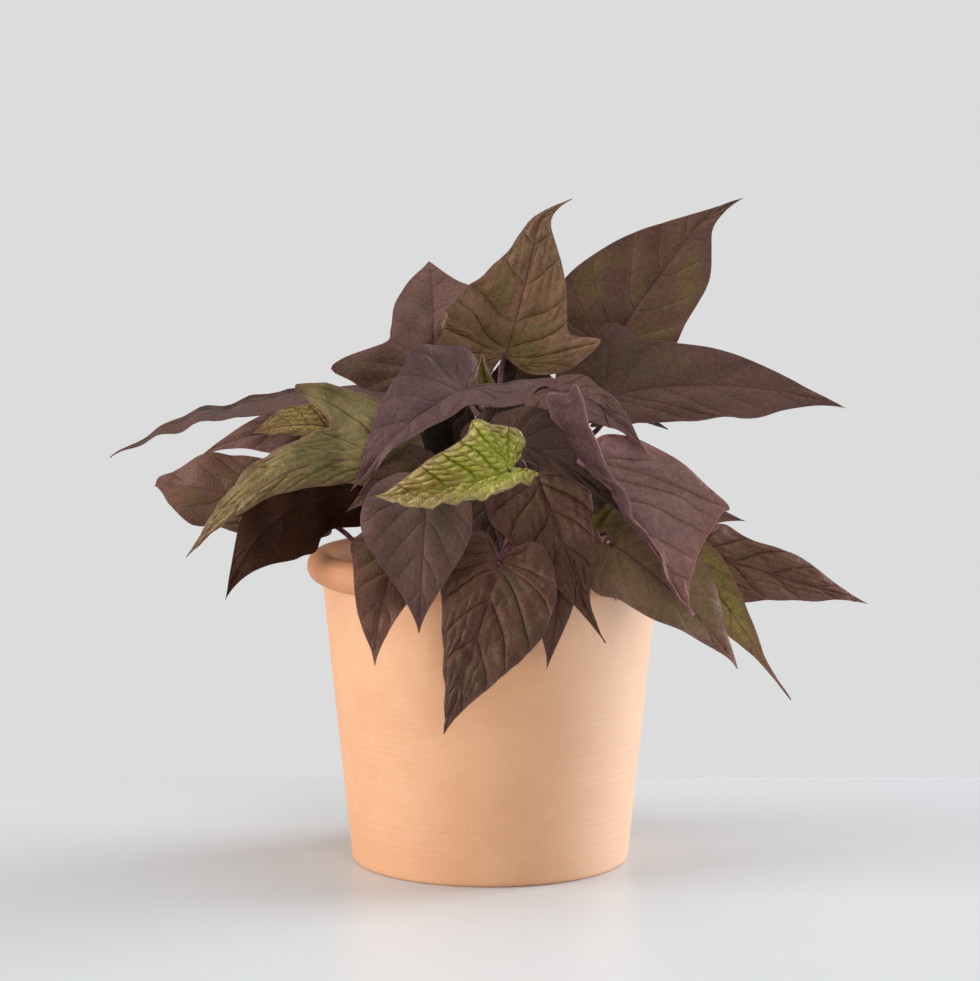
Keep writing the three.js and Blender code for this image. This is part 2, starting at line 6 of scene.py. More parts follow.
import json
import math
import random

import bmesh
import bpy
import numpy as np
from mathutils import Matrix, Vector
from mathutils import noise


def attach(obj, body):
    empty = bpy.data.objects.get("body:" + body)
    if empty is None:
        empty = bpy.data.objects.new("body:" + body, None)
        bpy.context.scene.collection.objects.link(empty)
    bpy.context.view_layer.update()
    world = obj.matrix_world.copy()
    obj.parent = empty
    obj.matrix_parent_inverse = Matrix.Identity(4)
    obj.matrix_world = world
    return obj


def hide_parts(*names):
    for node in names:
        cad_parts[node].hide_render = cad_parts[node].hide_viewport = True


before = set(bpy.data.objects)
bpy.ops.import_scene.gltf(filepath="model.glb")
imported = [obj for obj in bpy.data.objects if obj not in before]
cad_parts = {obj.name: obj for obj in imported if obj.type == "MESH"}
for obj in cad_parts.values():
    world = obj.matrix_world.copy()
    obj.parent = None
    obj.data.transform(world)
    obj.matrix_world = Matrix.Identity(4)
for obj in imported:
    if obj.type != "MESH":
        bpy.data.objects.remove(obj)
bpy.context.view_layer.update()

MM = 0.001

# ---- Pot and soil sizes, as in the CAD part ----
rim_radius = 82.5
rim_top = 141
roll_half_width = 6.5
roll_half_height = 7
foot_radius = 62.7
body_top_radius = 75.6
foot_rounding = 1.6
inner_rounding = 3
wall = 6.2
floor_thickness = 9
drain_radius = 9
soil_edge_height = 117
soil_crown_height = 120
soil_crown_radius = 24
soil_slope_run = 46
pot_sides = 192
soil_sides = 144
soil_rings = 44
soil_lumps = 260
# The fine meshes stay this far inside the CAD's faces, so that their relief doesn't pass them.
pot_inset = 0.15
stem_inset = 0.25
soil_inset = 0.5
soil_top_inset = 1.6

# ---- Stems and leaf stalks ----
stem_radius = 2.6
stem_tip_radius = 1.9
stem_sides = 16
stem_steps = 90
stalk_radius = 1.2
stalk_sides = 10
stalk_steps = 44
stalk_inside = 1.5
stalk_under = 0.7
stalk_drop = 4.8

# ---- Leaf blades, in mm but for the start of the tip's hook, a place along the midrib ----
hook_start = 0.82
blade_thickness = 0.45
vein_depth = 0.35
rib_depth = 0.8
# The slow and the short wandering of a blade's face rise and fall over these distances.
slow_reach = 28
crumple_reach = 11
# How far a leaf's own side veins may stand from their usual places, in stations of the outline,
# and how far they sway, in midrib lengths.
vein_shift = 0.25
vein_sway = 0.02
# Places of the side veins along an outline, whose stations run from 0 to 12, and the rows of
# points between two veins, as shares of the lane between them.
vein_places = [0, 1.7, 3.5, 5.1, 6.5, 7.7, 8.8, 9.9, 10.9, 12]
lane_steps = [0, 0.04, 0.1, 0.2, 0.35, 0.5, 0.65, 0.8, 0.9, 0.96]

# ---- Camera: place in metres, pitch below the horizon in radians, lens and sensor in mm ----
camera_place = (0, -1.380, 0.317)
camera_pitch = 0.108
camera_lens = 113.2
sensor_width = 36

# ---- Plant layout, with the same numbers as the CAD part ----
# Each stem is a smooth line through its points, from inside the soil upwards.
stems = {
    "stem_left": [[-12, 0, 100], [-16, -2, 128], [-38, -8, 160], [-58, -14, 184]],
    "stem_front_left": [[-8, -11, 100], [-11, -18, 130], [-18, -40, 160], [-20, -52, 186]],
    "stem_front": [[2, -12, 100], [5, -24, 128], [14, -50, 154], [18, -64, 178]],
    "stem_right": [[12, -6, 100], [19, -12, 128], [44, -30, 152], [64, -44, 170]],
    "stem_upright": [[0, 0, 100], [0, -2, 135], [-2, -8, 175], [-2, -12, 206]],
    "stem_back_right": [[10, 7, 100], [16, 9, 132], [34, 12, 168], [44, 14, 206]],
    "stem_back_left": [[-6, 11, 100], [-12, 18, 132], [-24, 30, 168], [-34, 40, 196]],
    "stem_back": [[4, 13, 100], [8, 24, 130], [16, 44, 158], [22, 60, 182]],
}
# How a blade bends where its row doesn't say otherwise, left and right: fold at the midrib and curl
# towards the margin, in degrees; lobes from 0 (heart) over 1 (spear) to 2 (lobed); sweep of the
# shoulders towards the tip; full, the fullness near the tip; lift of the shoulders; and basal, the
# length of the base lobes. For the whole blade: wave of the margin (height, number, start) and
# hook, the bend of the tip.
plain_bend = {
    "fold": [5, 5], "curl": [10, 10], "lobes": [0.5, 0.5], "sweep": [0, 0], "full": [0, 0],
    "lift": [0, 0], "basal": [1, 1], "wave": [1, 2, 0], "hook": [0, 0, 0],
}
leaves = []


def grow(name, base, mid, tip, face, half, stem, at, *via, tone="purple", **bend):
    """Add a leaf: its midrib's three points, the way its upper face looks and its half widths.

    Left and right are as seen from above with the tip up. The stalk leaves its stem at a place
    along it from 0 to 1 and passes the points in via.
    """
    row = {"name": "leaf_" + name, "tone": tone, "base": base, "mid": mid, "tip": tip, "face": face}
    row.update({"half": half, "stem": "stem_" + stem, "at": at, "via": via})
    leaves.append({**plain_bend, **row, **bend})


def grow_back(name, base, mid, tip, face, half, lobes, *stalk, tone="purple"):
    """Add a leaf at the back, where both halves are alike and all blades bend alike."""
    bend = {"lobes": [lobes, lobes], "fold": [8, 8], "curl": [-10, -10], "hook": [0, 0, -4]}
    grow("back_" + name, base, mid, tip, face, [half, half], *stalk, tone=tone, **bend)


grow("top_left", [-26, 16, 222], [-26, 26, 248], [-28, 46, 268], [0, -1, 0.15], [46, 34], "back_left",
    0.8, [-28, 26, 206], lobes=[1.75, 0.8], sweep=[-0.21, 0], full=[0.25, 0.4], hook=[0, 2, 0])
grow("top_center", [7, -2, 228], [16, 2, 261], [24, 8, 300], [0.1, -1, 0.1], [48, 39], "upright", 0.85,
    [4, -2, 212], tone="olive", fold=[-10, 5], curl=[90, 15], lobes=[1.25, 1.35], sweep=[-0.05, 0.12],
    basal=[1, 0.4], full=[-0.3, 0.05], hook=[13, -2, -2])
grow("front_purple", [-10, -40, 216], [-35, -52, 202], [-60, -56, 173], [-0.1, -0.9, 0.5], [20, 26],
    "upright", 0.97, [-6, -26, 208], fold=[8, 10], lobes=[1.6, 0.5], sweep=[-0.45, 0.05], lift=[4, 0],
    basal=[2.6, 1])
grow("right_top", [54, 24, 230], [79, 31, 265], [104, 38, 296], [-0.1, -1, 0.2], [34, 26],
    "back_right", 0.95, [48, 20, 218], tone="olive", lobes=[0, 0], full=[0.05, 0.5], hook=[12, 1, 2])
grow("right_long", [52, 3, 209], [103, 1, 215], [160, 4, 204], [0, -1, 0.35], [32, 18], "back_right",
    0.85, [46, 8, 202], lobes=[1.15, 0], sweep=[-0.03, 0.2], full=[0, 0.6])
grow("left_long", [-43, 24, 211], [-122, 18, 203], [-171, 6, 181], [-0.15, -0.3, 1], [25, 6], "left",
    0.93, [-54, 8, 198], curl=[-10, -10], lobes=[0.3, 0.1], wave=[0.3, 1, 0])
grow("green_left", [-46, -50, 184], [-88, -58, 181], [-131, -62, 145], [-0.2, -0.75, 0.7], [12, 40],
    "left", 0.8, [-46, -36, 188], tone="olive", fold=[-50, 5], curl=[-10, 10], lobes=[0, 1.9],
    sweep=[0, 0.15])
grow("small_tan", [-70, -26, 198], [-88, -31, 199], [-105, -36, 196], [0, -1, 0.6], [7, 12], "left",
    0.87, [-58, -24, 188], tone="tan", lobes=[0.1, 0.3], full=[0.3, 0.3])
grow("left_back", [-68, -8, 192], [-98, -14, 195], [-128, -18, 186], [0, -0.9, 0.4], [17, 14], "left",
    0.95, [-64, -10, 190], hook=[-2, 0, -3])
grow("left_lower", [-78, -20, 160], [-118, -27, 169], [-154, -12, 175], [0, -0.9, 0.4], [18, 19],
    "left", 0.3, [-66, -8, 150], [-53, -10, 139], curl=[20, 20], lobes=[0, 0], sweep=[0.2, 0.2],
    full=[0.9, 0.55], hook=[3, 8, -5])
grow("left_under", [-56, -34, 166], [-92, -42, 160], [-116, -44, 124], [0.4, 0.9, 0.5], [24, 25],
    "left", 0.55, [-46, -24, 166], lobes=[0.3, 0], sweep=[0, 0.2], full=[0, 0.3])
grow("front_left_low", [-38, -66, 150], [-46, -82, 128], [-49, -80, 101], [-0.1, -1, 0.1], [16, 20],
    "front_left", 0.5, [-30, -56, 158], lobes=[0.6, 0.6])
grow("front_left", [-27, -84, 177], [-28, -97, 150], [-30, -96, 117], [0, -1, 0.2], [20, 27],
    "front_left", 0.75, [-24, -66, 172], curl=[-10, -10], lobes=[0, 0], sweep=[0.1, 0.1])
grow("front_center", [4, -93, 148], [-6, -105, 115], [-20, -102, 75], [0, -1, 0.2], [28, 25], "front",
    0.6, [14, -72, 158], fold=[12, -15], lobes=[0, 0.5], sweep=[0.1, 0])
grow("center_hanging", [20, -71, 181], [32, -84, 152], [42, -86, 119], [-0.1, -1, 0.2], [20, 26],
    "front", 0.95, [18, -68, 180], lobes=[0.2, 0.2], hook=[7, 0, -7])
grow("center_low", [28, -81, 140], [28, -85, 124], [24, -86, 100], [0.1, -1, 0.2], [10, 16], "front",
    0.5, [24, -64, 150])
grow("lime", [8, -104, 187], [-20, -112, 180], [-48, -110, 177], [0, -1, 0.4], [16, 25], "front_left",
    1, [0, -90, 190], [-10, -68, 191], tone="lime", fold=[15, 5], curl=[60, 20], lobes=[0.1, 0.9],
    basal=[1.1, 1.2], full=[0.5, 0.1])
grow("right_big", [41, -93, 188], [64.5, -100, 158], [84, -99, 125], [0.2, -1, 0.3], [38, 31], "right",
    0.95, [57, -78, 189], fold=[-3, 80], curl=[10, 56], lobes=[0.3, 1.8], sweep=[0.45, -0.46],
    basal=[0.95, 1.6], full=[0, -0.6])
grow("shadow", [8, -76, 197], [34, -83, 186], [59, -83, 162], [-0.1, -0.9, 0.5], [17, 7], "front", 0.9,
    [14, -66, 186], lobes=[0.3, 0.3])
grow("brown", [28, -56, 216], [49, -77, 210], [64, -95, 195], [0.2, -0.8, 0.6], [11, 18], "upright",
    0.92, [16, -30, 203], hook=[2, 0, -3])
grow("right_mid", [89, -27, 143], [126, -28, 133], [167, -28, 120], [0, -1, 0.3], [15, 20], "right",
    0.8, [72, -30, 150], lobes=[0.4, 0.3], full=[0.5, 0])
grow("right_small", [84, -12, 158], [98, -14, 158], [114, -14, 155], [0, -1, 0.5], [7, 7], "right",
    0.9, [72, -24, 160], lobes=[0.1, 0.1])
grow("right_olive", [86, -38, 144], [106, -42, 118], [124, -38, 90], [-0.2, -1, 0.2], [11, 14],
    "right", 0.7, [74, -42, 148], tone="olive", lobes=[0.2, 0.2], hook=[9, 0, -12])
grow("right_low", [52, -72, 152], [80, -80, 131], [107, -66, 97], [0.2, -1, 0.3], [30, 24], "right",
    0.6, [54, -58, 156], tone="olive")
grow("inner_center", [-6, -32, 189], [16, -44, 191], [42, -52, 183], [0, -0.8, 0.6], [18, 26],
    "upright", 0.7, [-5, -22, 186])
grow("inner_left", [-29, -54, 181], [-44, -58, 177], [-62, -60, 165], [-0.1, -1, 0.3], [15, 13],
    "front_left", 0.95, [-25, -52, 179], tone="olive")
grow("inner_low", [-4, -58, 172], [1, -66, 160], [5, -75, 147], [-0.1, -1, 0.3], [12, 20], "front",
    0.8, [8, -57, 170])
grow("inner_top", [6, 13, 203], [14, 16, 225], [24, 20, 246], [0, -1, 0.1], [12, 24], "upright", 0.8,
    [2, 2, 196])
grow("inner_right", [34, -8, 173], [56, -14, 164], [80, -16, 148], [0.1, -1, 0.3], [14, 24], "right",
    0.45, [30, -10, 166])
grow("inner_left_low", [-14, 4, 168], [-17, 2, 198], [-16, 0, 230], [-0.1, -1, 0.3], [20, 19],
    "back_left", 0.45, [-14, 14, 162])
grow("right_dark", [50, 14, 197], [66, 14, 199], [81, 12, 195], [0, -0.5, 1], [10, 8], "back_right",
    0.75, [44, 14, 192])
grow("right_inner", [44, -48, 182], [47, -55, 173], [50, -60, 163], [-0.3, -1, 0.1], [10, 10], "right",
    0.65, [43, -42, 174])
grow("low_green", [38, -58, 150], [45, -71, 145], [54, -76, 128], [0, -1, 0.3], [10, 9], "front", 0.35,
    [24, -50, 142], tone="olive")
grow("shoot_left", [0, -14, 212], [-3, -18, 221], [-3, -20, 230], [0, -1, 0.2], [6, 6], "upright", 1,
    [-1, -13, 209], tone="lime", fold=[40, 40], lobes=[0, 0])
grow("shoot_right", [46, -70, 160], [49, -73, 165], [54, -74, 170], [0, -1, 0.2], [5, 5], "right",
    0.75, [51, -58, 158], tone="lime", fold=[40, 40], lobes=[0, 0])
grow_back("left_high", [-30, 56, 205], [-40, 84, 220], [-44, 119, 208], [0, 0.4, 1], 28, 0.8,
    "back_left", 1, [-32, 46, 200])
grow_back("left", [-50, 44, 186], [-72, 72, 190], [-84, 104, 172], [-0.3, 0.5, 1], 28, 0.8,
    "back_left", 0.8, [-42, 38, 184])
grow_back("left_low", [-58, 34, 166], [-86, 54, 162], [-106, 70, 138], [-0.5, 0.5, 1], 24, 0.6,
    "back_left", 0.6, [-44, 30, 164])
grow_back("middle", [8, 56, 204], [8, 86, 214], [4, 122, 196], [0, 0.5, 1], 28, 0.8, "back", 1,
    [14, 56, 196], tone="olive")
grow_back("right_high", [36, 50, 200], [52, 76, 212], [62, 104, 198], [0.2, 0.4, 1], 24, 0.8, "back",
    0.95, [30, 54, 190])
grow_back("right", [40, 62, 172], [60, 86, 168], [76, 104, 144], [0.4, 0.6, 1], 22, 0.8, "back", 0.8,
    [30, 58, 172])
grow_back("low_left", [-28, 66, 162], [-40, 92, 152], [-46, 108, 126], [-0.2, 0.9, 0.7], 24, 0.6,
    "back_left", 0.5, [-24, 50, 164])
grow_back("low_middle", [14, 76, 160], [16, 98, 148], [14, 112, 118], [0.1, 0.9, 0.7], 26, 0.6, "back",
    0.6, [14, 62, 162])
grow_back("low_right", [52, 50, 150], [72, 72, 142], [84, 92, 116], [0.6, 0.8, 0.7], 22, 0.6, "back",
    0.4, [38, 44, 150])

# ---- Leaf outlines ----
# Half of a blade, from the notch at the stalk round to the tip: heart, spear and lobed. Each point
# is its distance along the midrib (1 is the length) and out from it (1 is the half width).
blade_outlines = [
    [
      [0, 0], [-0.1, 0.2], [-0.15, 0.5], [-0.08, 0.82], [0.06, 0.98], [0.18, 1], [0.3, 0.93],
      [0.44, 0.78], [0.58, 0.58], [0.72, 0.36], [0.85, 0.16], [0.94, 0.05], [1, 0],
    ],
    [
      [0, 0], [-0.1, 0.15], [-0.17, 0.36], [-0.14, 0.62], [0, 0.82], [0.12, 1], [0.2, 0.78],
      [0.33, 0.66], [0.5, 0.54], [0.68, 0.34], [0.84, 0.14], [0.93, 0.05], [1, 0],
    ],
    [
      [0, 0], [-0.1, 0.12], [-0.18, 0.3], [-0.15, 0.58], [0, 0.82], [0.2, 1], [0.22, 0.4],
      [0.34, 0.34], [0.5, 0.29], [0.68, 0.22], [0.84, 0.13], [0.93, 0.06], [1, 0],
    ],
]
vein_starts = [0, 0, 0, 0, 0, 0, 0.02, 0.12, 0.3, 0.52, 0.74, 0.88, 1]  # on the midrib


# ---- Numbers and curves ----
def lerp(a, b, t):
    return a + (b - a) * t


def smoothstep(x, low, high):
    t = np.clip((x - low) / (high - low), 0, 1)
    return t * t * (3 - 2 * t)


def unit(v):
    return v / np.linalg.norm(v, axis=-1, keepdims=True)


def smooth_value(values, place):
    """Catmull-Rom value of a list of numbers at places between its entries."""
    values = np.asarray(values, float)
    i = np.clip(np.floor(place).astype(int), 0, len(values) - 2)
    t = place - i
    last = len(values) - 1
    p, q, r, s = (values[np.clip(i + n, 0, last)] for n in (-1, 0, 1, 2))
    return q + 0.5 * t * (r - p + t * (2 * p - 5 * q + 4 * r - s + t * (3 * (q - r) + s - p)))


def through(points, t):
    """Point at t from 0 to 1 on the CAD's smooth line (centripetal Catmull-Rom) through points."""
    stops = [np.array(p, float) for p in points]
    stops = [2 * stops[0] - stops[1], *stops, 2 * stops[-1] - stops[-2]]
    last = len(points) - 1
    i = min(int(last * t), last - 1)
    w = last * t - i
    before, a, b, after = stops[i : i + 4]
    middle = max(np.linalg.norm(b - a) ** 0.5, 1e-4)
    first = np.linalg.norm(a - before) ** 0.5
    third = np.linalg.norm(after - b) ** 0.5
    first = first if first > 1e-4 else middle
    third = third if third > 1e-4 else middle
    leave = ((a - before) / first - (b - before) / (first + middle) + (b - a) / middle) * middle
    arrive = ((b - a) / middle - (after - a) / (middle + third) + (after - b) / third) * middle
    bend = 3 * (b - a) - 2 * leave - arrive
    return a + w * (leave + w * (bend + w * (2 * (a - b) + leave + arrive)))


# ---- Meshes ----
def add_object(name, data):
    made = bpy.data.objects.new(name, data)
    bpy.context.scene.collection.objects.link(made)
    return made


def add_mesh(name, points, triangles, materials, material_of=None, corners=None, sharp=50):
    """A smooth-shaded mesh object from points in mm. corners holds vectors for its corners."""
    mesh = bpy.data.meshes.new(name)
    mesh.from_pydata((np.asarray(points, float) * MM).tolist(), [], np.asarray(triangles).tolist())
    for material in materials:
        mesh.materials.append(material)
    if material_of is not None:
        mesh.polygons.foreach_set("material_index", np.asarray(material_of, np.int32))
    for key, values in (corners or {}).items():
        layer = mesh.attributes.new(key, "FLOAT_VECTOR", "CORNER")
        layer.data.foreach_set("vector", np.asarray(values, np.float32).ravel())
    mesh.shade_smooth()
    mesh.set_sharp_from_angle(angle=math.radians(sharp))
    return add_object(name, mesh)


def stand_for(piece, node):
    """The piece rides on the plant's one body and is shown in place of a CAD node."""
    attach(piece, "root")
    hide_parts(node)


def triangles_of(quads):
    """Two triangles for each quad, as rows of point numbers."""
    return np.concatenate([quads[:, [0, 1, 2]], quads[:, [0, 2, 3]]])


def grid_quads(rows, columns, closed=False):
    """Quads of a grid counted row by row. A closed grid joins its last column to its first."""
    across = columns if closed else columns - 1
    i, j = np.meshgrid(np.arange(rows - 1), np.arange(across), indexing="ij")
    a = (i * columns + j).ravel()
    b = (i * columns + (j + 1) % columns).ravel()
    return np.stack([a, b, b + columns, a + columns], 1)


def tube(path, radii, sides):
    """Points and triangles of a round bar along a path, closed by a rounded cap at each end."""
    path = np.asarray(path, float)
    ahead = unit(np.gradient(path, axis=0))
    across = unit(np.cross(ahead[0], [0.31, 0.87, 0.39]))
    angles = np.linspace(0, 2 * math.pi, sides, endpoint=False)
    rings = []
    for point, forward, radius in zip(path, ahead, radii):
        across = unit(across - forward * across.dot(forward))
        other = np.cross(forward, across)
        circle = np.outer(np.cos(angles), across) + np.outer(np.sin(angles), other)
        rings.append(point + radius * circle)
    start = path[0] - ahead[0] * radii[0] * 0.5
    end = path[-1] + ahead[-1] * radii[-1] * 0.5
    points = np.concatenate([*rings, [start, end]])
    sides_of = triangles_of(grid_quads(len(path), sides, closed=True))
    k = np.arange(sides)
    after = (k + 1) % sides
    low, high = np.full(sides, len(points) - 2), np.full(sides, len(points) - 1)
    top = (len(path) - 1) * sides
    caps = [np.stack([low, after, k], 1), np.stack([high, top + k, top + after], 1)]
    return points, np.concatenate([sides_of, *caps])


def normals_of(points, triangles):
    """Unit normal at each point, weighted by the area of the triangles round it."""
    a, b, c = (points[triangles[:, n]] for n in range(3))
    faces = np.cross(b - a, c - a)
    total = np.zeros_like(points)
    for n in range(3):
        np.add.at(total, triangles[:, n], faces)
    return total / np.maximum(np.linalg.norm(total, axis=1, keepdims=True), 1e-12)


def rim_edges(triangles):
    """The directed edges that only one triangle has, so the edge of an open sheet."""
    edges = np.concatenate([triangles[:, [0, 1]], triangles[:, [1, 2]], triangles[:, [2, 0]]])
    both_ways = np.sort(edges, 1)
    _, which, count = np.unique(both_ways, axis=0, return_inverse=True, return_counts=True)
    return edges[count[which.ravel()] == 1]


# ---- Leaf shapes ----
def midrib(leaf):
    """The midrib's three control points and its length."""
    base, middle, tip = (np.array(leaf[k], float) for k in ("base", "mid", "tip"))
    control = 2 * middle - (base + tip) / 2
    t = np.linspace(0, 1, 201)[:, None]
    line = (1 - t) ** 2 * base + 2 * t * (1 - t) * control + t * t * tip
    return base, control, tip, np.linalg.norm(np.diff(line, axis=0), axis=1).sum()


def blade_frame(leaf, rib, along):
    """Points on the midrib at places along it, with the directions forward, up and right there."""
    base, control, tip, _ = rib
    t = np.clip(along, 0, 1)[..., None]
    point = (1 - t) ** 2 * base + 2 * t * (1 - t) * control + t * t * tip
    forward = unit(2 * (1 - t) * (control - base) + 2 * t * (tip - control))
    face = np.array(leaf["face"], float)
    up = unit(face - forward * (forward @ face)[..., None])
    return point, forward, up, np.cross(forward, up)


def blade_points(leaf, rib, half, along, out):
    """Points of a half (0 is left, 1 is right), along in midrib lengths and out in half widths."""
    point, forward, up, right = blade_frame(leaf, rib, along)
    behind = np.minimum(along, 0) * rib[3]
    hooked = np.maximum((along - hook_start) / (1 - hook_start), 0) ** 2
    fold = math.radians(leaf["fold"][half])
    curl = math.radians(leaf["curl"][half]) or 1e-4
    radius = leaf["half"][half] / curl
    across = radius * (np.sin(fold + curl * out) - np.sin(fold))
    raised = -radius * (np.cos(fold + curl * out) - np.cos(fold))
    lobe_tip = smoothstep(out, 0.45, 1) * (1 - smoothstep(along, 0.1, 0.4))
    wave_height, count, begin = leaf["wave"]
    wave = wave_height * np.sin(2 * math.pi * count * along + math.radians(begin)) * out * out
    point = point + forward * behind[..., None] + hooked[..., None] * np.array(leaf["hook"], float)
    side = 1 if half else -1
    height = raised + leaf["lift"][half] * lobe_tip + wave
    return point + right * (side * across)[..., None] + up * height[..., None]


def outline(leaf, half, place):
    """Distance along, distance out and vein start at places on the outline of one half."""
    lobes = leaf["lobes"][half]
    shape = min(int(lobes), len(blade_outlines) - 2)
    plain, lobed = np.array(blade_outlines[shape]), np.array(blade_outlines[shape + 1])
    from_base, out = (
        lerp(smooth_value(plain[:, n], place), smooth_value(lobed[:, n], place), lobes - shape)
        for n in (0, 1)
    )
    out = np.maximum(out, 0)
    along = np.where(from_base < 0, leaf["basal"][half], 1) * from_base
    along = along + leaf["sweep"][half] * out * out
    out = out * (1 + leaf["full"][half] * smoothstep(from_base, 0.3, 0.7))
    return along, out, np.maximum(smooth_value(vein_starts, place), 0)


def half_grid(leaf, rib, half):
    """One half's grid of points, with what its finish needs to know at each of them.

    lane counts the side veins, so that each lies on a whole number, and lane_width is the distance
    in mm between two of them. from_rib and from_edge are distances in mm along a vein, share is
    the first as a share of the whole vein, and round_edge is the way along the margin in mm.
    """
    count = len(vein_places)
    lanes = np.array([k + s for k in range(count - 1) for s in lane_steps] + [count - 1.0])
    chance = random.Random(leaf["name"] + "lr"[half])
    own_places = [
        p + chance.uniform(-vein_shift, vein_shift) if 0 < p < vein_places[-1] else p
        for p in vein_places
    ]
    sways = [chance.uniform(-vein_sway, vein_sway) for _ in vein_places]
    along, out, _ = outline(leaf, half, np.interp(lanes, range(count), own_places))
    start = outline(leaf, half, np.interp(lanes, range(count), vein_places))[2]
    sway = np.interp(lanes, range(count), sways)
    v = (1 - np.cos(np.linspace(0, math.pi, leaf["relief"]["columns"]))) / 2
    a = start[:, None] + (along - start)[:, None] * (0.6 * v + 0.4 * v * v)
    a += sway[:, None] * np.sin(2 * math.pi * v) * np.clip(out * 2, 0, 1)[:, None]
    points = blade_points(leaf, rib, half, a, out[:, None] * v)
    lane_width = np.linalg.norm(np.gradient(points, lanes, axis=0), axis=2)
    steps = np.linalg.norm(np.diff(points, axis=1), axis=2)
    from_rib = np.concatenate([np.zeros((len(lanes), 1)), np.cumsum(steps, axis=1)], axis=1)
    edge_steps = np.linalg.norm(np.diff(points[:, -1], axis=0), axis=1)
    round_edge = np.concatenate([[0], np.cumsum(edge_steps)])
    pressed = np.zeros_like(a)
    for dent_half, at, beside, length, width, depth in leaf["dents"]:
        if dent_half == half:
            away = ((a - at) / length) ** 2 + ((out[:, None] * v - beside) / width) ** 2
            pressed += depth * np.exp(-away)
    return points, {
        "lane": np.repeat(lanes[:, None], len(v), axis=1),
        "lane_width": lane_width,
        "share": np.repeat(v[None], len(lanes), axis=0),
        "along": a,
        "from_rib": from_rib,
        "from_edge": from_rib[:, -1:] - from_rib,
        "round_edge": np.repeat(round_edge[:, None], len(v), axis=1),
        "pressed": pressed,
    }


def quilting(facts, relief):
    """Height in mm of the upper face: domes between the veins, and grooves along them."""
    lane, width = facts["lane"], facts["lane_width"]
    between = np.sin(math.pi * (lane % 1)) ** 0.8
    twice = np.abs(np.sin(2 * math.pi * (lane % 1))) ** 0.6
    inside = np.clip(facts["from_rib"] / 4, 0, 1) * np.clip(facts["from_edge"] / 5 + 0.2, 0, 1)
    wide = np.clip(width / 8, 0, 1.3)
    turns = facts["from_rib"] / relief["cross_spacing"] + np.floor(lane) * 0.37 + 0.5 * between
    cross = np.abs(np.sin(math.pi * turns)) ** 0.7
    bubbles = between * relief["cross"] * cross + twice * cross * relief["bubble"]
    dome = inside * wide * (between * relief["quilt"] + bubbles)
    from_vein = np.abs(lane - np.round(lane)) * width
    vein = np.exp(-((from_vein / 0.5) ** 2)) * (1 - 0.6 * facts["share"]) * np.clip(width / 4, 0, 1)
    rib = np.exp(-((facts["from_rib"] / 0.9) ** 2)) * (1 - 0.7 * np.clip(facts["along"], 0, 1))
    vein *= np.clip(facts["from_edge"] / 3, 0, 1)
    rib *= np.clip((facts["from_edge"] - 0.5) / 3, 0, 1)
    return dome - relief["groove"] * (vein + 1.5 * rib), vein, rib


def wander(points, seed, reach, size):
    """A smooth, seeded rise and fall of up to about size mm over distances of about reach mm."""
    chance = random.Random(seed)
    total = np.zeros(len(points))
    for k in range(4):
        way = np.array([chance.gauss(0, 1) for _ in range(3)])
        way *= 2 * math.pi / reach / np.linalg.norm(way) * (1 + 0.35 * k)
        total += np.sin(points @ way + chance.uniform(0, 2 * math.pi)) / (1 + 0.4 * k)
    return total * size / 2


def blade_shell(leaf, seed):
    """Points, triangles, material numbers and corner facts of a blade, closed, with its two faces."""
    rib = midrib(leaf)
    relief = leaf["relief"]
    grids = [half_grid(leaf, rib, half) for half in (0, 1)]
    rows, columns = grids[0][0].shape[:2]
    loose = np.concatenate([points.reshape(-1, 3) for points, _ in grids])
    facts = {k: np.concatenate([g[1][k].ravel() for g in grids]) for k in grids[0][1]}
    quads = grid_quads(rows, columns)
    corner = triangles_of(np.concatenate([quads[:, ::-1], quads + rows * columns]))
    _, first, same = np.unique(np.round(loose, 3), axis=0, return_index=True, return_inverse=True)
    same = same.ravel()
    triangles = same[corner]
    real = (triangles != np.roll(triangles, 1, axis=1)).all(axis=1)
    triangles, corner = triangles[real], corner[real]
    points = loose[first]
    at = {k: values[first] for k, values in facts.items()}
    normals = normals_of(points, triangles)
    if (normals @ np.array(leaf["face"], float)).mean() < 0:
        normals, triangles, corner = -normals, triangles[:, ::-1], corner[:, ::-1]

    height, vein, rib_height = quilting(at, relief)
    ruffle = np.sin(2 * math.pi * at["round_edge"] / relief["ruffle_length"] + seed) * at["share"] ** 4
    ruffle = relief["ruffle"] * ruffle * np.clip(at["along"] * 6 + 1.5, 0, 1)
    height += ruffle * (1 - smoothstep(at["along"], 0.75, 0.95))
    height += at["pressed"]
    slow = wander(points, seed, slow_reach, relief["wander"])
    crumple = wander(points, seed + 50, crumple_reach, relief["crumple"])
    height += slow + crumple * np.clip(at["from_edge"] / 3 + at["from_rib"] / 6, 0, 1)
    centre = points + normals * height[:, None]
    normals = normals_of(centre, triangles)
    under = blade_thickness / 2 + vein_depth * vein + rib_depth * rib_height
    count = len(points)
    upper_face = centre + normals * blade_thickness / 2
    shell = np.concatenate([upper_face, centre - normals * under[:, None]])
    p, q = rim_edges(triangles).T
    side = np.concatenate([np.stack([p, p + count, q + count], 1), np.stack([p, q + count, q], 1)])
    everything = np.concatenate([triangles, triangles[:, ::-1] + count, side])
    kinds = np.concatenate([np.zeros(len(triangles)), np.ones(len(triangles) + len(side))])
    lane = np.stack([facts["lane"], facts["lane_width"], facts["share"]], 1)
    place = np.stack([facts["along"], facts["from_rib"], facts["from_edge"]], 1)
    corners = {}
    for key, values in (("lane", lane), ("place", place)):
        on_faces = values[corner]
        on_side = values[first][side % count]
        corners[key] = np.concatenate([on_faces, on_faces[:, ::-1], on_side]).reshape(-1, 3)
    return shell, everything, kinds, corners


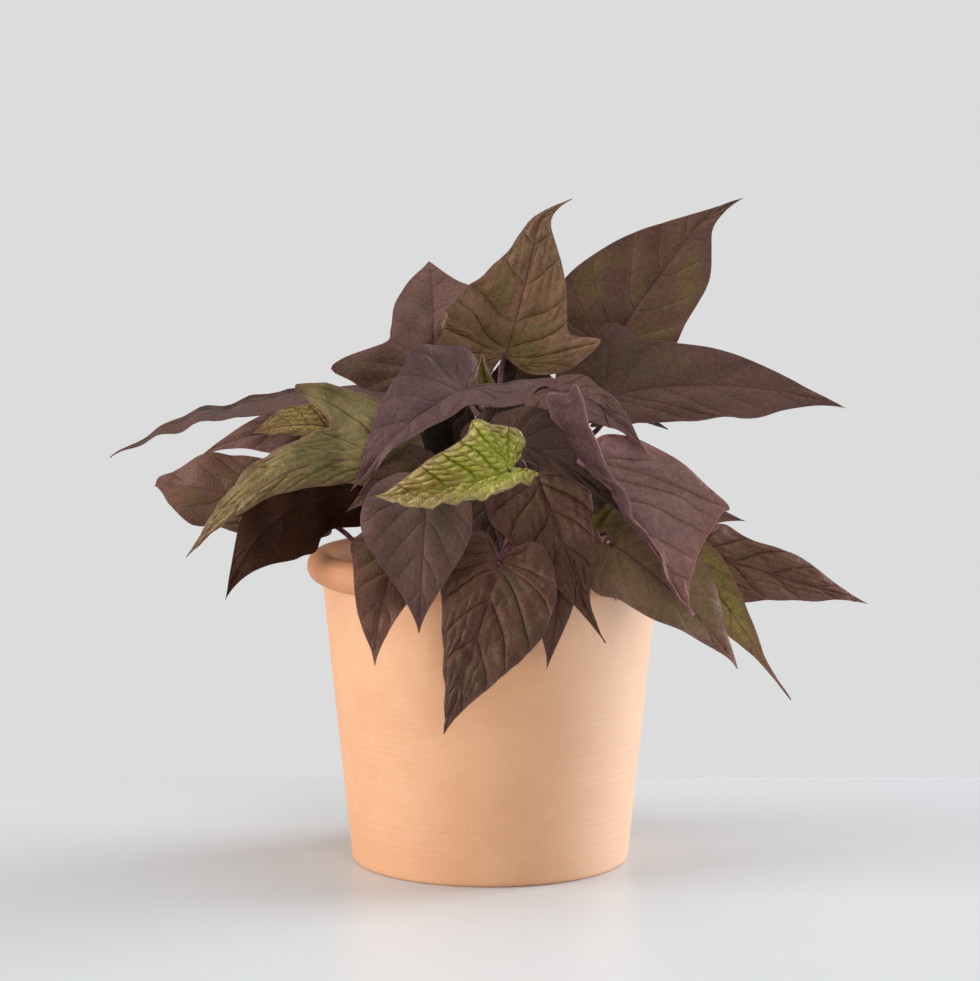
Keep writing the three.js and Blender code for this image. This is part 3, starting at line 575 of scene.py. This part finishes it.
def stalk_tube(leaf):
    """The stalk: from just inside the blade, back under the notch and down to its stem."""
    base = np.array(leaf["base"], float)
    _, forward, up, _ = blade_frame(leaf, midrib(leaf), np.zeros(()))
    inside = base + forward * stalk_inside - up * stalk_under
    behind = base - (forward + up) * stalk_drop
    stops = [inside, behind, *leaf["via"], through(stems[leaf["stem"]], leaf["at"])]
    t = np.linspace(0, 1, stalk_steps)
    path = [through(stops, value) for value in t]
    flare = 1 + 0.5 * smoothstep(t, 0.9, 1) - 0.15 * smoothstep(t, 0.3, 0) - 0.25 * (t < 0.02)
    return tube(path, stalk_radius * flare, stalk_sides)


# ---- Finishes ----
def linear(colour):
    """A screen colour from 0 to 255 as the linear colour that shaders take, with its alpha."""
    channels = [c / 255 for c in colour]
    return [c / 12.92 if c <= 0.04045 else ((c + 0.055) / 1.055) ** 2.4 for c in channels] + [1]


class Finish:
    """A material's nodes, with short calls for the kinds that the finishes share."""

    def __init__(self, name, roughness, specular):
        self.material = bpy.data.materials.new(name)
        self.material.use_nodes = True
        self.tree = self.material.node_tree
        self.shader = self.tree.nodes["Principled BSDF"]
        self.feed(self.shader, {"Roughness": roughness, "Specular IOR Level": specular})

    def feed(self, node, inputs):
        """Link or set inputs of a node, by name or number. Colours are screen colours."""
        for key, value in inputs.items():
            socket = node.inputs[key]
            if isinstance(value, bpy.types.NodeSocket):
                self.tree.links.new(value, socket)
            else:
                socket.default_value = linear(value) if socket.type == "RGBA" else value

    def node(self, kind, inputs, **settings):
        made = self.tree.nodes.new("ShaderNode" + kind)
        for key, value in settings.items():
            setattr(made, key, value)
        self.feed(made, inputs)
        return made

    def math(self, operation, a, b=0.0):
        return self.node("Math", {0: a, 1: b}, operation=operation).outputs[0]

    def times(self, a, b):
        return self.math("MULTIPLY", a, b)

    def ramp(self, value, low, high, start=0.0, end=1.0):
        """Start where value is below low, end above high, and a smooth change between."""
        given = {0: value, 1: low, 2: high, 3: start, 4: end}
        return self.node("MapRange", given, interpolation_type="SMOOTHSTEP").outputs[0]

    def mix(self, share, a, b, blend="MIX"):
        given = {"Factor": share, 6: a, 7: b}
        return self.node("Mix", given, data_type="RGBA", blend_type=blend).outputs[2]

    def spot(self):
        """The place on the plant, in metres."""
        return self.node("TexCoord", {}).outputs["Object"]

    def stretched_spot(self, scale):
        return self.node("Mapping", {"Vector": self.spot(), "Scale": scale}).outputs[0]

    def noise(self, size, detail=2.0, roughness=0.5, vector=None):
        """Noise from 0 to 1 with features of about size mm."""
        given = {"Vector": vector or self.spot(), "Scale": 1 / (size * MM)}
        given.update({"Detail": detail, "Roughness": roughness})
        return self.node("TexNoise", given).outputs["Fac"]

    def cells(self, size, feature="F1"):
        """Distance in a pattern of cells of about size mm."""
        given = {"Vector": self.spot(), "Scale": 1 / (size * MM)}
        return self.node("TexVoronoi", given, feature=feature).outputs["Distance"]

    def parts(self, vector):
        return self.node("SeparateXYZ", {0: vector}).outputs[:3]

    def facts(self, name):
        """The three numbers that the mesh holds under this name."""
        return self.parts(self.node("Attribute", {}, attribute_name=name).outputs["Vector"])

    def bump(self, height, depth, strength=1.0):
        """Bump of depth mm between height 0 and 1."""
        given = {"Distance": depth * MM, "Strength": strength, "Height": height}
        self.feed(self.shader, {"Normal": self.node("Bump", given).outputs[0]})

    def colour(self, value):
        self.feed(self.shader, {"Base Color": value})

    def sheen(self, weight, tint):
        self.feed(self.shader, {"Sheen Weight": weight, "Sheen Roughness": 0.5, "Sheen Tint": tint})


def leaf_face(name, paint):
    """One face of a blade, painted in layers, with a fine bump."""
    finish = Finish(name, paint["roughness"], paint["gloss"])
    lane, lane_width, share = finish.facts("lane")
    along, from_rib, from_edge = finish.facts("place")
    to_vein = finish.times(finish.math("PINGPONG", lane, 0.5), lane_width)
    fine_vein = finish.ramp(finish.cells(2.3, "DISTANCE_TO_EDGE"), 0.02, 0.16, 1, 0)
    patches = finish.ramp(finish.noise(26, 3, 0.6), 0.5 - paint["spread"], 0.62 - paint["spread"])
    halo = finish.times(finish.ramp(to_vein, 0.3, 3.2, 1, 0), paint["halo"])
    thinning = finish.ramp(share, 0.2, 1, paint["veins"], paint["veins"] * 0.35)
    fading = finish.ramp(along, 0.5, 1, 0.95, 0.5)
    tones = {
        "patch": patches,
        "beside": halo,
        "tip": finish.ramp(along, paint["tip_from"], 1.05),
        "edge": finish.ramp(from_edge, 0.5, 8, 0.75, 0),
    }
    marks = [
        ("vein", finish.times(fine_vein, paint["net"])),
        ("vein", finish.times(finish.ramp(to_vein, 0.12, 0.55, 1, 0), thinning)),
        ("rib", finish.times(finish.ramp(from_rib, 0.35, 0.85, 1, 0), fading)),
        ("speck", finish.ramp(finish.cells(1.5), 0.1, 0.17, paint["specks"], 0)),
        ("margin", finish.ramp(from_edge, 0.15, 0.5, paint["margin_share"], 0)),
    ]
    colour = paint["blade"]
    for key, cover in tones.items():
        colour = finish.mix(cover, colour, paint[key])
    mottle = finish.ramp(finish.noise(2.2, 3, 0.6), 0.3, 0.7, 0.84, 1.14)
    colour = finish.mix(1.0, colour, mottle, "MULTIPLY")
    for key, cover in marks:
        colour = finish.mix(cover, colour, paint[key])
    finish.colour(colour)
    relief = finish.math("ADD", finish.times(fine_vein, -0.6), finish.noise(0.9, 3, 0.6))
    finish.bump(relief, paint["bump"], 0.7)
    finish.sheen(paint["sheen"], paint["bloom"])
    return finish.material


# What every leaf's upper face has unless its tone or the leaf itself says otherwise. Lists of
# three are screen colours. spread is how much of the blade the patches take, tip_from where the
# tip's colour starts, beside the colour next to the side veins and halo its share; veins, net and
# specks are the strengths of those marks.
plain_paint = dict(
    blade=[108, 76, 66], patch=[102, 78, 58], spread=0.0, tip=[110, 74, 67], tip_from=0.5,
    edge=[108, 72, 66], vein=[84, 54, 48], veins=0.5, beside=[104, 80, 62], halo=0.2, rib=[98, 52, 54],
    net=0.2, speck=[156, 132, 116], specks=0.2, margin=[128, 94, 86], margin_share=0.5, bump=0.25,
    roughness=0.5, gloss=0.24, sheen=0.02, bloom=[200, 180, 184],
)
tone_paint = {
    "purple": {},
    "olive": dict(
        blade=[120, 92, 66], patch=[110, 94, 54], tip=[118, 84, 66], edge=[114, 80, 66],
        vein=[90, 62, 46], beside=[128, 104, 66], halo=0.3, rib=[104, 54, 54],
    ),
    "lime": dict(
        blade=[188, 182, 90], patch=[164, 150, 68], tip=[146, 104, 70], tip_from=0.12,
        edge=[146, 118, 68], vein=[134, 140, 48], veins=0.32, beside=[160, 174, 42], halo=0.6,
        rib=[150, 164, 62], net=0.25, speck=[220, 224, 160], margin=[92, 66, 50], margin_share=0.9,
        roughness=0.32, gloss=0.55, sheen=0.0,
    ),
    "tan": dict(
        blade=[166, 142, 84], patch=[148, 122, 72], tip=[140, 108, 66], edge=[130, 100, 62],
        vein=[112, 84, 54], veins=0.8, beside=[178, 156, 100], halo=0.3, rib=[120, 84, 62], net=0.5,
        bump=0.5, roughness=0.6,
    ),
}
# Undersides are paler and more lilac, with the side veins standing out darker.
under_paint = {
    "purple": dict(
        blade=[128, 96, 94], patch=[122, 90, 86], tip=[130, 94, 94], edge=[122, 88, 86],
        vein=[104, 66, 68], veins=0.7, beside=[124, 92, 90], rib=[112, 60, 66], net=0.3, gloss=0.14,
    ),
    "olive": dict(
        blade=[128, 112, 80], patch=[124, 102, 80], tip=[126, 96, 84], edge=[118, 88, 76],
        vein=[104, 74, 62], veins=0.7, beside=[130, 112, 80], rib=[112, 60, 62], net=0.3, gloss=0.14,
    ),
    "lime": dict(blade=[178, 194, 108], patch=[164, 184, 92], vein=[196, 208, 128]),
    "tan": dict(blade=[150, 128, 84], patch=[138, 112, 76], vein=[112, 84, 60]),
}
# How the blades are shaped between their veins, in mm: the height of the quilting, of the cross
# veins in it, of the bubbles between those and their spacing, the depth of the grooves, the ruffle
# of the margin and its length, the slow and the short wandering of the whole face; and the number
# of points along a vein.
relief_names = [
    "quilt", "cross", "bubble", "cross_spacing", "groove", "ruffle", "ruffle_length", "wander",
    "crumple", "columns",
]
reliefs = {
    "smooth": [0.36, 0.2, 0, 5, 0.14, 0.45, 23, 1.7, 0.16, 18],
    "quilted": [0.55, 0.22, 0.7, 5.5, 0.12, 0.6, 17, 1.8, 0.6, 26],
    "plain": [0.1, 0.05, 0, 6, 0.08, 0.4, 25, 1.5, 0.15, 16],
    "crinkled": [0.75, 0.5, 2.2, 3.6, 0.32, 0.8, 11, 0.8, 0.35, 38],
    "rippled": [0.4, 0.5, 0.3, 4, 0.08, 0.45, 23, 1.7, 0.2, 26],
    "dry": [0.5, 0.3, 0.7, 3, 0.2, 0.8, 9, 0.8, 0.3, 30],
    "small": [0.2, 0.05, 0, 3, 0.15, 0.15, 9, 0.4, 0.08, 12],
}
# Leaves inside the plant, in the shade between the others, get a darker paint: painted shade. The
# lower ones at the front are browner.
shaded_paint = dict(
    blade=[70, 48, 38], patch=[66, 50, 32], tip=[72, 46, 40], edge=[70, 46, 38], vein=[52, 33, 28],
    beside=[68, 50, 36], rib=[62, 36, 34], margin=[84, 58, 52], gloss=0.15, sheen=0.0,
)
brown_paint = dict(
    blade=[104, 68, 52], patch=[96, 70, 42], tip=[106, 68, 56], edge=[104, 66, 54], vein=[78, 48, 38],
    beside=[102, 76, 48], margin=[120, 84, 72], gloss=0.25,
)
# The underside that the low leaf at the left shows, nearly black-brown: painted shade, as it lies
# under the leaf above it.
shadowed_under = dict(
    blade=[54, 30, 19], patch=[46, 26, 16], tip=[72, 46, 34], edge=[60, 35, 24], vein=[34, 17, 12],
    veins=0.4, beside=[44, 24, 15], rib=[44, 22, 18], specks=0.0, margin=[70, 46, 36], gloss=0.05,
    sheen=0.0,
)
# The underside that the folded leaf at the right shows: dark inside the fold with painted shade, paler
# lilac towards its margins.
folded_under = dict(
    blade=[71, 50, 49], patch=[62, 44, 42], tip=[94, 71, 74], edge=[91, 68, 70], rib=[74, 48, 50],
    vein=[60, 42, 41], beside=[82, 58, 57], net=0.08, gloss=0.12, sheen=0.0,
)
# The two shoots have young leaves of olive yellow.
shoot_paint = dict(
    blade=[122, 112, 44], patch=[106, 92, 38], tip=[104, 76, 44], edge=[112, 92, 44],
    vein=[92, 84, 34], beside=[124, 118, 46], rib=[96, 88, 36], specks=0.0,
)
plain_look = {"relief": "smooth", "shade": 1, "upper": {}, "under": {}, "dents": []}
leaf_looks = {}


def look(name, relief="smooth", shade=1, paint=(), under=(), dents=(), **upper):
    """A leaf that differs from the smooth relief or its tone's paint, with what its faces change.

    shade brightens or darkens all its colours. A dent has its half, its middle along and out, its
    size both ways, in midrib lengths and half widths, and its height in mm.
    """
    own = {"relief": relief, "shade": shade, "dents": dents}
    leaf_looks["leaf_" + name] = {**own, "upper": dict(paint, **upper), "under": dict(under)}


look("top_left", shade=0.98)
look("top_center", "quilted", blade=[122, 90, 62], edge=[126, 94, 70], patch=[112, 94, 50],
    dents=[[0, 0.22, 0.62, 0.22, 0.14, -6], [0, 0.2, 0.95, 0.3, 0.2, 4]])
look("front_purple", shade=0.9, blade=[108, 78, 78], patch=[102, 76, 72], edge=[104, 72, 74],
    rib=[90, 56, 62])
look("right_top", shade=0.82, blade=[116, 80, 58], patch=[114, 92, 42], edge=[112, 74, 60],
    vein=[78, 46, 40], veins=0.8)
look("right_long", shade=0.86, blade=[108, 75, 62], patch=[102, 77, 54])
look("left_long", "plain", 0.86, blade=[110, 80, 72], patch=[102, 80, 68])
look("green_left", "quilted", 1.1, blade=[110, 98, 58], patch=[90, 82, 44], tip=[130, 108, 72],
    tip_from=0.3, rib=[96, 76, 50], edge=[104, 78, 56], beside=[116, 104, 64])
look("small_tan", "dry", 0.94, blade=[176, 148, 86], vein=[134, 104, 64])
look("left_lower", shade=0.95, paint=brown_paint)
look("left_under", "plain", under=shadowed_under)
look("front_left_low", shade=0.98, paint=brown_paint)
look("front_left", shade=0.86)
look("front_center", "quilted", 0.82, paint=brown_paint, blade=[104, 62, 41])
look("center_hanging", "quilted", 0.84, paint=brown_paint, blade=[104, 68, 48], tip=[158, 124, 84],
    tip_from=0.82)
look("center_low", shade=0.85, paint=brown_paint)
look("lime", "crinkled")
look("right_big", "rippled", 1.24, blade=[108, 80, 77], patch=[104, 80, 72], margin=[140, 104, 104],
    veins=0.35, under=folded_under)
look("brown", "quilted", 0.84, blade=[106, 74, 66], patch=[108, 80, 60], tip=[140, 104, 78],
    tip_from=0.8)
look("right_mid", "quilted", 1.07, blade=[108, 76, 60], patch=[102, 76, 52])
look("right_small", "small")
look("right_olive", blade=[140, 122, 60], patch=[118, 104, 46], tip=[150, 100, 92], edge=[120, 92, 62])
look("shoot_left", "small", paint=shoot_paint, under=shoot_paint)
look("shoot_right", "small", paint=shoot_paint, under=shoot_paint)
# The leaves in the shade between the others.
shaded_leaves = {
    "shadow": 0.95, "inner_left": 1.15, "inner_low": 1, "inner_top": 1, "inner_right": 1,
    "inner_left_low": 0.62, "inner_center": 0.9, "right_dark": 1, "right_inner": 1,
}
for name, shade in shaded_leaves.items():
    look(name, shade=shade, paint=shaded_paint)


def stem_skin(name, light, dark):
    finish = Finish(name, 0.5, 0.35)
    grain = finish.noise(1.4, 4, 0.6, finish.stretched_spot((1, 1, 0.25)))
    finish.colour(finish.mix(finish.ramp(grain, 0.35, 0.65), light, dark))
    finish.bump(grain, 0.2)
    return finish.material


def terracotta():
    """Unglazed fired clay: faint wheel lines, soft clouds of tone, fine grain and pores; a painted
    highlight pales its right side and painted shade darkens its rim.
    """
    finish = Finish("terracotta", 0.6, 0.5)
    clouds = finish.ramp(finish.noise(38, 4, 0.6), 0.35, 0.65)
    colour = finish.mix(clouds, (223, 167, 126), (229, 175, 134))
    x, _, z = finish.parts(finish.spot())
    # Painted highlight: the clay turns paler towards its right side (+x), where the right lamp glares
    # on it.
    colour = finish.mix(finish.ramp(x, 0.01, 0.06, 0, 0.55), colour, (230, 200, 176))
    wheel = finish.noise(1.6, 4, 0.65, finish.stretched_spot((0.02, 0.02, 1)))
    colour = finish.mix(finish.ramp(wheel, 0.3, 0.7, 0, 0.1), colour, (214, 152, 112))
    grain = finish.noise(0.7, 4, 0.7)
    colour = finish.mix(1.0, colour, finish.ramp(grain, 0.3, 0.7, 0.95, 1.04), "MULTIPLY")
    pores = finish.ramp(finish.cells(2.4), 0.05, 0.1, 0.4, 0)
    colour = finish.mix(pores, colour, (176, 116, 82))
    # Painted shade: the rolled rim, from about 125 mm up, is darkened as if shaded by the leaves above
    # it.
    rim_shade = finish.ramp(z, 0.125, 0.13)
    finish.colour(finish.mix(rim_shade, colour, (226, 206, 194), "MULTIPLY"))
    relief = finish.math("ADD", finish.times(wheel, 0.2), finish.times(grain, 0.45))
    finish.bump(finish.math("SUBTRACT", relief, pores), 0.18)
    return finish.material


def crumbly(name, light, dark, size, roughness):
    finish = Finish(name, roughness, 0.2)
    grain = finish.noise(size, 4, 0.65)
    finish.colour(finish.mix(finish.ramp(grain, 0.35, 0.65), dark, light))
    finish.bump(grain, size * 0.4)
    return finish.material


# ---- Pot ----
def inner_radius(height):
    return lerp(foot_radius, body_top_radius, height / (rim_top - 2 * roll_half_height)) - wall


def arc(centre, width, height, degrees, count):
    """Points of an elliptic arc in the pot's section, from one angle to another."""
    angles = np.radians(np.linspace(*degrees, count))
    return [(centre[0] + width * math.cos(a), centre[1] + height * math.sin(a)) for a in angles]


def pot_profile():
    """(radius, height) in mm round the pot's section, from the drain hole up the outside and in."""
    foot_edge = foot_radius - foot_rounding
    points = [(r, 0) for r in np.linspace(drain_radius, foot_edge, 14)]
    points += arc((foot_edge, foot_rounding), foot_rounding, foot_rounding, (-80, -10), 6)
    low, high = foot_rounding + 0.3, rim_top - 2 * roll_half_height - 0.6
    for height in np.linspace(low, high, 150):
        points.append((lerp(foot_radius, body_top_radius, height / (high + 0.6)), height))
    middle = (rim_radius - roll_half_width, rim_top - roll_half_height)
    points += arc(middle, roll_half_width, roll_half_height, (-78, 166), 54)
    floor_arc = floor_thickness + inner_rounding
    for height in np.linspace(rim_top - 2 * roll_half_height, floor_arc, 40):
        points.append((inner_radius(height), height))
    edge = inner_radius(floor_thickness) - inner_rounding
    points += arc((edge, floor_arc), inner_rounding, -inner_rounding, (0, 90), 6)
    points += [(r, floor_thickness) for r in np.linspace(edge - 1, drain_radius, 10)]
    return points


def wheel_ripple(r, z):
    """The potter's faint turning marks on the outside, in mm."""
    if r <= foot_radius or z <= 4:
        return 0
    return 0.05 * math.sin(z * 2.1) + 0.1 * noise.noise(Vector((0, 0, z * 0.8)))


def make_pot():
    profile = np.array(pot_profile())
    ripple = [wheel_ripple(r, z) for r, z in profile]
    radius = profile[:, 0] - pot_inset + np.array(ripple)
    turn = np.linspace(0, 2 * math.pi, pot_sides, endpoint=False)
    x, y = np.outer(radius, np.cos(turn)), np.outer(radius, np.sin(turn))
    z = np.repeat(profile[:, 1:], pot_sides, axis=1)
    points = np.stack([x, y, z], -1).reshape(-1, 3)
    quads = grid_quads(len(profile) + 1, pot_sides, closed=True) % len(points)
    pot = add_mesh("clay_pot", points, triangles_of(quads), [terracotta()], sharp=40)
    stand_for(pot, "pot")


# ---- Soil ----
def soil_height(x, y):
    """The soil's surface in mm: lower at the wall, crumbly all over."""
    past_crown = max(math.hypot(x, y) - soil_crown_radius, 0)
    slope = (soil_crown_height - soil_edge_height) * past_crown / soil_slope_run
    place = Vector((x, y, 0))
    crumbs = noise.fractal(place / 5, 0.8, 2.2, 4) + 0.8 * noise.noise(place / 16)
    return soil_crown_height - soil_top_inset - slope + crumbs


def chip(chance, x, y, size, flatness):
    """A small irregular lump that lies in the soil's surface."""
    golden_angle = math.pi * (3 - math.sqrt(5))
    count = 14
    points = []
    for k in range(count):
        z = 1 - 2 * (k + 0.5) / count
        ring = math.sqrt(1 - z * z)
        reach = size * chance.uniform(0.75, 1.15)
        turn = golden_angle * k
        out = ring * reach
        points.append([out * math.cos(turn), out * math.sin(turn), z * reach * flatness])
    turn = chance.uniform(0, math.pi)
    c, s = math.cos(turn), math.sin(turn)
    stretch = chance.uniform(1, 1.7)
    lift = soil_height(x, y) + size * flatness * 0.3
    return [[x + c * p * stretch - s * q, y + s * p * stretch + c * q, lift + r] for p, q, r in points]


def hull(points):
    """Triangles of the convex hull of a few points."""
    shape = bmesh.new()
    made = [shape.verts.new(p) for p in points]
    bmesh.ops.convex_hull(shape, input=made)
    shape.verts.index_update()
    number = {v: k for k, v in enumerate(made)}
    triangles = [[number[v] for v in face.verts] for face in shape.faces]
    shape.free()
    return triangles


def make_soil():
    edge = inner_radius(soil_edge_height) - 0.6
    floor = floor_thickness + 0.4
    turns = np.linspace(0, 2 * math.pi, soil_sides, endpoint=False)
    points = []
    for r in np.linspace(0.4, edge, soil_rings):
        for turn in turns:
            x, y = r * math.cos(turn), r * math.sin(turn)
            points.append([x, y, soil_height(x, y)])
    lower_rings = [(inner_radius(z) - soil_inset, z) for z in (80, 40, floor + inner_rounding)]
    lower_rings += [(inner_radius(floor) - inner_rounding - soil_inset, floor), (0.4, floor)]
    for r, height in lower_rings:
        points += [[r * math.cos(a), r * math.sin(a), height] for a in turns]
    rows = len(points) // soil_sides
    triangles = triangles_of(grid_quads(rows, soil_sides, closed=True))[:, ::-1].tolist()
    last = (rows - 1) * soil_sides
    triangles += [[0, k, k + 1] for k in range(1, soil_sides - 1)]
    triangles += [[last, last + k + 1, last + k] for k in range(1, soil_sides - 1)]
    kinds = [0] * len(triangles)
    chance = random.Random(11)
    for k in range(soil_lumps):
        r, turn = (edge - 5) * math.sqrt(chance.random()), chance.uniform(0, 2 * math.pi)
        kind = 2 if k % 5 == 0 else 1
        size = chance.uniform(0.7, 1.3) if kind == 2 else chance.uniform(0.9, 2.3)
        flatness = 0.8 if kind == 2 else 0.5
        lump = chip(chance, r * math.cos(turn), r * math.sin(turn), size, flatness)
        faces = hull(lump)
        triangles += [[n + len(points) for n in face] for face in faces]
        points += lump
        kinds += [kind] * len(faces)
    finishes = [
        crumbly("potting_mix", (78, 58, 44), (38, 27, 21), 1.2, 0.95),
        crumbly("bark_chips", (124, 88, 60), (70, 46, 32), 0.8, 0.85),
        crumbly("perlite", (222, 216, 206), (178, 170, 160), 0.6, 0.9),
    ]
    soil = add_mesh("potting_soil", points, triangles, finishes, kinds)
    stand_for(soil, "soil")


# ---- Stems and leaves ----
def make_stems():
    skin = stem_skin("stem_skin", (112, 74, 78), (72, 44, 54))
    t = np.linspace(0, 1, stem_steps)
    for name, stops in stems.items():
        path = [through(stops, value) for value in t]
        nodes = [leaf["at"] for leaf in leaves if leaf["stem"] == name]
        swelling = sum(0.35 * np.exp(-(((t - at) / 0.025) ** 2)) for at in nodes)
        radii = lerp(stem_radius, stem_tip_radius, t) - stem_inset + np.minimum(swelling, 0.4)
        points, triangles = tube(path, radii, stem_sides)
        stem = add_mesh(name.replace("stem", "vine"), points, triangles, [skin])
        stand_for(stem, name)


def shaded(paint, shade):
    """A paint with all its colours brighter or darker."""
    return {k: [c * shade for c in v] if isinstance(v, list) else v for k, v in paint.items()}


def make_leaves():
    stalks = stem_skin("stalk_skin", (118, 70, 82), (76, 42, 56))
    green_stalks = stem_skin("green_stalk_skin", (158, 166, 92), (124, 118, 70))
    made = {}
    for number, leaf in enumerate(leaves):
        looks = leaf_looks.get(leaf["name"], plain_look)
        leaf["relief"] = dict(zip(relief_names, reliefs[looks["relief"]]))
        leaf["dents"] = looks["dents"]
        tone = leaf["tone"]
        faces = []
        for side, tones in (("upper", tone_paint), ("under", under_paint)):
            paint = shaded({**plain_paint, **tones[tone], **looks[side]}, looks["shade"])
            key = json.dumps(paint)
            if key not in made:
                made[key] = leaf_face(f"{leaf['name']}_{side}", paint)
            faces.append(made[key])
        blade, triangles, kinds, corners = blade_shell(leaf, number)
        stalk, stalk_triangles = stalk_tube(leaf)
        stalk_corners = np.zeros((len(stalk_triangles) * 3, 3))
        piece = add_mesh(
            leaf["name"].replace("leaf", "blade", 1),
            np.concatenate([blade, stalk]),
            np.concatenate([triangles, stalk_triangles + len(blade)]),
            [*faces, green_stalks if tone == "lime" else stalks],
            np.concatenate([kinds, np.full(len(stalk_triangles), 2)]),
            {k: np.concatenate([v, stalk_corners]) for k, v in corners.items()},
        )
        stand_for(piece, leaf["name"])


# ---- Stage ----
def area_light(name, place, aim, size, power, colour):
    lamp = bpy.data.lights.new(name, "AREA")
    lamp.shape = "RECTANGLE"
    lamp.size, lamp.size_y = size
    lamp.energy = power
    lamp.color = colour
    light = add_object(name, lamp)
    light.location = place
    light.rotation_euler = (Vector(aim) - Vector(place)).to_track_quat("-Z", "Y").to_euler()


def make_stage():
    scene = bpy.context.scene
    scene.view_settings.view_transform = "Standard"
    world = bpy.data.worlds.new("studio")
    world.use_nodes = True
    tree = world.node_tree
    backdrop = tree.nodes["Background"]
    backdrop.inputs["Color"].default_value = linear((220, 220, 221))
    ambient = tree.nodes.new("ShaderNodeBackground")
    ambient.inputs["Color"].default_value = (0.3, 0.3, 0.31, 1)
    seen = tree.nodes.new("ShaderNodeLightPath")
    either = tree.nodes.new("ShaderNodeMixShader")
    tree.links.new(seen.outputs["Is Camera Ray"], either.inputs[0])
    tree.links.new(ambient.outputs[0], either.inputs[1])
    tree.links.new(backdrop.outputs[0], either.inputs[2])
    tree.links.new(either.outputs[0], tree.nodes["World Output"].inputs["Surface"])
    scene.world = world

    finish = Finish("table", 0.35, 0.2)
    finish.colour((212, 215, 217))
    left, right, front, back = -1300, 1300, -1300, 178
    corners = [[left, front, 0], [right, front, 0], [right, back, 0], [left, back, 0]]
    table = add_mesh("table", corners, [[0, 1, 2], [0, 2, 3]], [finish.material])

    area_light("left_box", (-1.45, -0.4, 0.55), (0, 0, 0.15), (0.9, 1.1), 22.5, (1, 0.97, 0.93))
    area_light("right_box", (1.35, 0.5, 0.55), (0, 0, 0.15), (0.9, 1.1), 26.5, (0.98, 0.99, 1))
    area_light("front_box", (0.5, -1.9, 0.75), (0, 0, 0.12), (1.2, 0.9), 10, (1, 0.99, 0.97))
    area_light("top_box", (0, 0, 1.6), (0, 0, 0.1), (1.2, 1.0), 8, (1, 1, 1))

    lens = bpy.data.cameras.new("camera")
    lens.lens = camera_lens
    lens.sensor_width = sensor_width
    camera = add_object("camera", lens)
    camera.location = camera_place
    camera.rotation_euler = (math.pi / 2 - camera_pitch, 0, 0)
    scene.camera = camera


make_stage()
make_pot()
make_soil()
make_stems()
make_leaves()
